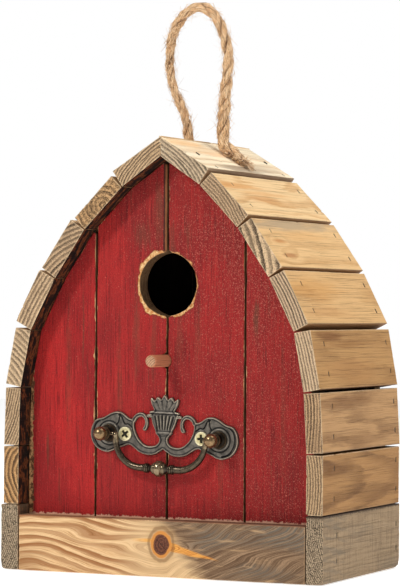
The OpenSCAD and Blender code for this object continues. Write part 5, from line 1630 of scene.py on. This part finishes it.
BAILM = metal("bail_bronze", (48, 41, 34), (76, 66, 54), (170, 150, 118), rough=0.29, scale=0.4, metallic=0.85, wear_and_painted_light=0.55, grime=0.5)
o = make_object("pull_bail_swept", pull_world(bv_[:, 0], bv_[:, 2], PIN_Y + bv_[:, 1]), bf2, BAILM, attrs={"wear_and_painted_light": wear_and_painted_light})
place(o, "bail", "antique_brass", "pull_bail")


def screw_head(radius, height, slot_len, slot_w, depth, rings=26, n=72, shank=1.7, shank_len=12.0, turn=0.0, bevel=0.35):
    """Phillips screw: polar grid head with a pressed cross recess, and its shank."""
    rs = np.concatenate([np.linspace(0.12, radius - bevel, rings - 6), radius - bevel + bevel * np.sin(np.linspace(0.3, 1.5708, 6))])
    th = np.linspace(0, 2 * np.pi, n, endpoint=False)
    verts, faces = [[0, 0, 0]], []
    for r in rs:
        for a in th:
            verts.append([r * math.cos(a), r * math.sin(a), 0])
    v = np.array(verts)
    r_ = np.hypot(v[:, 0], v[:, 1])
    top = height - 0.12 * (r_ / radius) ** 2
    rim = np.clip((r_ - (radius - bevel)) / bevel, 0, 1)
    top = top - bevel * (1 - np.sqrt(np.maximum(0, 1 - rim ** 2)))
    c, s = math.cos(turn), math.sin(turn)
    a_ = v[:, 0] * c + v[:, 1] * s
    b_ = -v[:, 0] * s + v[:, 1] * c
    arm = lambda p, q: sstep(np.abs(q), slot_w * 0.5 + 0.22, slot_w * 0.5 - 0.12) * sstep(np.abs(p), slot_len * 0.5 + 0.1, slot_len * 0.5 - 0.6)
    cut = np.maximum(arm(a_, b_), arm(b_, a_))
    cut = np.maximum(cut, sstep(np.hypot(a_, b_), slot_w * 1.25, slot_w * 0.6))
    v[:, 2] = top - depth * cut
    for k in range(len(rs) - 1):
        for i in range(n):
            j = (i + 1) % n
            faces.append([1 + k * n + i, 1 + k * n + j, 1 + (k + 1) * n + j, 1 + (k + 1) * n + i])
    for i in range(n):
        faces.append([0, 1 + (i + 1) % n, 1 + i])
    last = 1 + (len(rs) - 1) * n
    lv = [v]
    base = len(v)
    prev_ = last
    for r, w in ((radius, height - bevel - 0.05), (radius, 0.05), (radius - 0.1, 0.0), (shank, 0.0), (shank, -shank_len + 2), (0.25, -shank_len)):
        ring = np.column_stack([r * np.cos(th), r * np.sin(th), np.full(n, w)])
        lv.append(ring)
        for i in range(n):
            j = (i + 1) % n
            faces.append([prev_ + i, prev_ + j, base + j, base + i])
        prev_ = base
        base += n
    lv.append(np.array([[0, 0, -shank_len - 0.1]]))
    for i in range(n):
        faces.append([prev_ + i, prev_ + (i + 1) % n, base])
    v = np.concatenate(lv)
    cutw = np.concatenate([cut, np.zeros(len(v) - len(cut))])
    return v, faces, cutw


ZINC = metal("yellow_zinc", (196, 182, 130), (226, 214, 166), (252, 246, 214), rough=0.42, scale=0.7, metallic=0.55, wear_and_painted_light=0.7, grime=0.2)
parts, wr = [], []
for sgn, trn in ((-1, 0.72), (1, 0.10)):
    sv, sf, cw = screw_head(4.45, 1.15, 5.8, 1.3, 1.1, turn=trn, shank_len=11.0)
    parts.append((pull_world(sgn * SCREW_X + sv[:, 0], sv[:, 1], PLATE_Y + 0.2 - sv[:, 2]), sf))
    # painted shade: the cross recess is marked near-black; the rim a little lighter
    wr.append(0.35 + 0.3 * sstep(np.hypot(sv[:, 0], sv[:, 1]), 2.8, 3.9) - 1.6 * cw)
sv, sf = join(parts)
o = make_object("pull_screws_pressed", sv, sf, ZINC, attrs={"wear_and_painted_light": np.concatenate(wr)})
place(o, "house", "yellow_zinc", "pull_screws")

# ---------------------------------------------------------------- clean-out cover and its screw

CZ, PVZ, CT = 66.0, 97.0, 4.0
C_Y = BACK + 0.3
neck = seg_sdf([(-9, PVZ), (-20, CZ + 16), (20, CZ + 16), (9, PVZ)])


def cover_sdf(p):
    d = np.maximum(26 - np.hypot(p[:, 0], p[:, 1] - CZ), 9 - np.hypot(p[:, 0], p[:, 1] - PVZ))
    d = np.maximum(d, neck(p)) - 0.1
    q = np.column_stack([p[:, 0] * 0.3, p[:, 1] * 0.3, np.zeros(len(p))])
    d = d - 0.2 * sstep(fbm(q, 44, 3), 0.45, 0.8)
    return np.minimum(d, np.hypot(p[:, 0], p[:, 1] - PVZ) - 2.15)


def cov_front(p, d):
    k = np.clip(1 - d / 0.8, 0, 1)
    q = np.column_stack([p[:, 0], p[:, 1], np.zeros(len(p))])
    return 0.8 * (1 - np.sqrt(np.maximum(0, 1 - k ** 2))) + 0.12 * fbm(q * [0.9, 0.06, 1], 91, 3) + 0.1


def cov_back(p, d):
    k = np.clip(1 - d / 0.4, 0, 1)
    return CT - 0.4 * (1 - np.sqrt(np.maximum(0, 1 - k ** 2))) - 0.03


cv, cf, cd = slab(cover_sdf, (-27, 27, 39, 107), 1.0, 0.85, (0.62, 0.36, 0.16, 0.04, 0.0), cov_front, cov_back, [0.15, 0.4, 0.65, 0.9])
o = make_object("cleanout_cover_sawn", np.column_stack([cv[:, 0], C_Y + CT - cv[:, 2], cv[:, 1]]), cf,
                wood("wood_cover", grain=(0, 0, 1), pith=(-30, 50), spacing=3.4, warp=4.0, long_a=(226, 190, 140), long_b=(190, 140, 90), seed=6.6,
                     knots=[(10, 60, 3.0, 7.0)], long_contrast=0.6),
                attrs={"bp": cv, "ed": cd})
place(o, "cover", "slat_pine", "cleanout_cover")
sv, sf, cw = screw_head(4.1, 1.75, 5.4, 1.0, 1.2, turn=0.4, shank=1.95, shank_len=11.5, bevel=0.6)
ZN = metal("zinc", (150, 150, 150), (180, 180, 178), (226, 226, 222), rough=0.36, scale=0.6, metallic=0.9, wear_and_painted_light=0.6, grime=0.35)
# painted shade: the cross recess is marked dark
o = make_object("cleanout_screw_pressed", np.column_stack([sv[:, 0], C_Y + CT + 0.2 + sv[:, 2] * 0.99, PVZ + sv[:, 1]]), sf, ZN,
                attrs={"wear_and_painted_light": 0.35 - 1.2 * cw})
place(o, "house", "zinc", "cleanout_screw")

# ---------------------------------------------------------------- floor, world and lights

def flat_material(name, colour, rough, emit=0.0):
    M = Mat(name)
    tc = M.node("ShaderNodeTexCoord").outputs["Object"]
    n = M.noise(tc, 3.0, 2.0, 0.5)
    M.put(M.b.inputs["Base Color"], M.mix(n, colour, tuple(c * 0.985 for c in colour[:3]) + (1.0,)))
    M.b.inputs["Roughness"].default_value = rough
    M.b.inputs["Specular IOR Level"].default_value = 0.1
    if emit:
        M.b.inputs["Emission Color"].default_value = (1, 1, 1, 1)
        M.b.inputs["Emission Strength"].default_value = emit
    return M.m


n_side = 96
ang = np.linspace(0, 2 * np.pi, n_side, endpoint=False)
fl_pts = [[0, 0, -0.4]]
fl_faces = []
for k, r in enumerate((150, 300, 700, 1600, 3200)):
    for a in ang:
        fl_pts.append([r * math.cos(a), r * math.sin(a), -0.4])
for i in range(n_side):
    fl_faces.append([0, 1 + i, 1 + (i + 1) % n_side])
for k in range(4):
    for i in range(n_side):
        j = (i + 1) % n_side
        fl_faces.append([1 + k * n_side + i, 1 + (k + 1) * n_side + i, 1 + (k + 1) * n_side + j, 1 + k * n_side + j])
me = bpy.data.meshes.new("floor")
me.from_pydata((np.array(fl_pts) / 1000.0).tolist(), [], fl_faces)
me.materials.append(flat_material("floor_pale", (0.9, 0.9, 0.9, 1.0), 0.8, 0.6))
floor = bpy.data.objects.new("floor", me)
scene.collection.objects.link(floor)

world = bpy.data.worlds.new("studio")
scene.world = world
world.use_nodes = True
nt = world.node_tree
nt.nodes.clear()
w_out = nt.nodes.new("ShaderNodeOutputWorld")
bg = nt.nodes.new("ShaderNodeBackground")
lp = nt.nodes.new("ShaderNodeLightPath")
mr = nt.nodes.new("ShaderNodeMapRange")
mr.inputs["To Min"].default_value = 0.34
mr.inputs["To Max"].default_value = 1.0
nt.links.new(lp.outputs["Is Camera Ray"], mr.inputs["Value"])
bg.inputs["Color"].default_value = (1, 1, 1, 1)
nt.links.new(mr.outputs["Result"], bg.inputs["Strength"])
nt.links.new(bg.outputs["Background"], w_out.inputs["Surface"])


def area(name, loc, target, size, power, colour=(1, 1, 1)):
    ld = bpy.data.lights.new(name, "AREA")
    ld.shape = "DISK"
    ld.size = size
    ld.energy = power
    ld.color = colour
    lo = bpy.data.objects.new(name, ld)
    lo.location = loc
    lo.rotation_euler = (Vector(target) - Vector(loc)).to_track_quat("-Z", "Y").to_euler()
    scene.collection.objects.link(lo)
    return lo


area("key", (-0.62, -1.25, 1.20), (0, 0, 0.17), 0.26, 15.0, (1.0, 0.985, 0.96))
area("top", (0.55, 0.15, 1.50), (0, 0, 0.2), 0.9, 12.0, (1.0, 0.99, 0.97))
area("fill", (1.5, -0.5, 0.5), (0, 0, 0.15), 0.9, 2.5)

scene.view_settings.view_transform = "Standard"
scene.view_settings.look = "None"
scene.view_settings.exposure = 0.0
scene.view_settings.gamma = 1.0
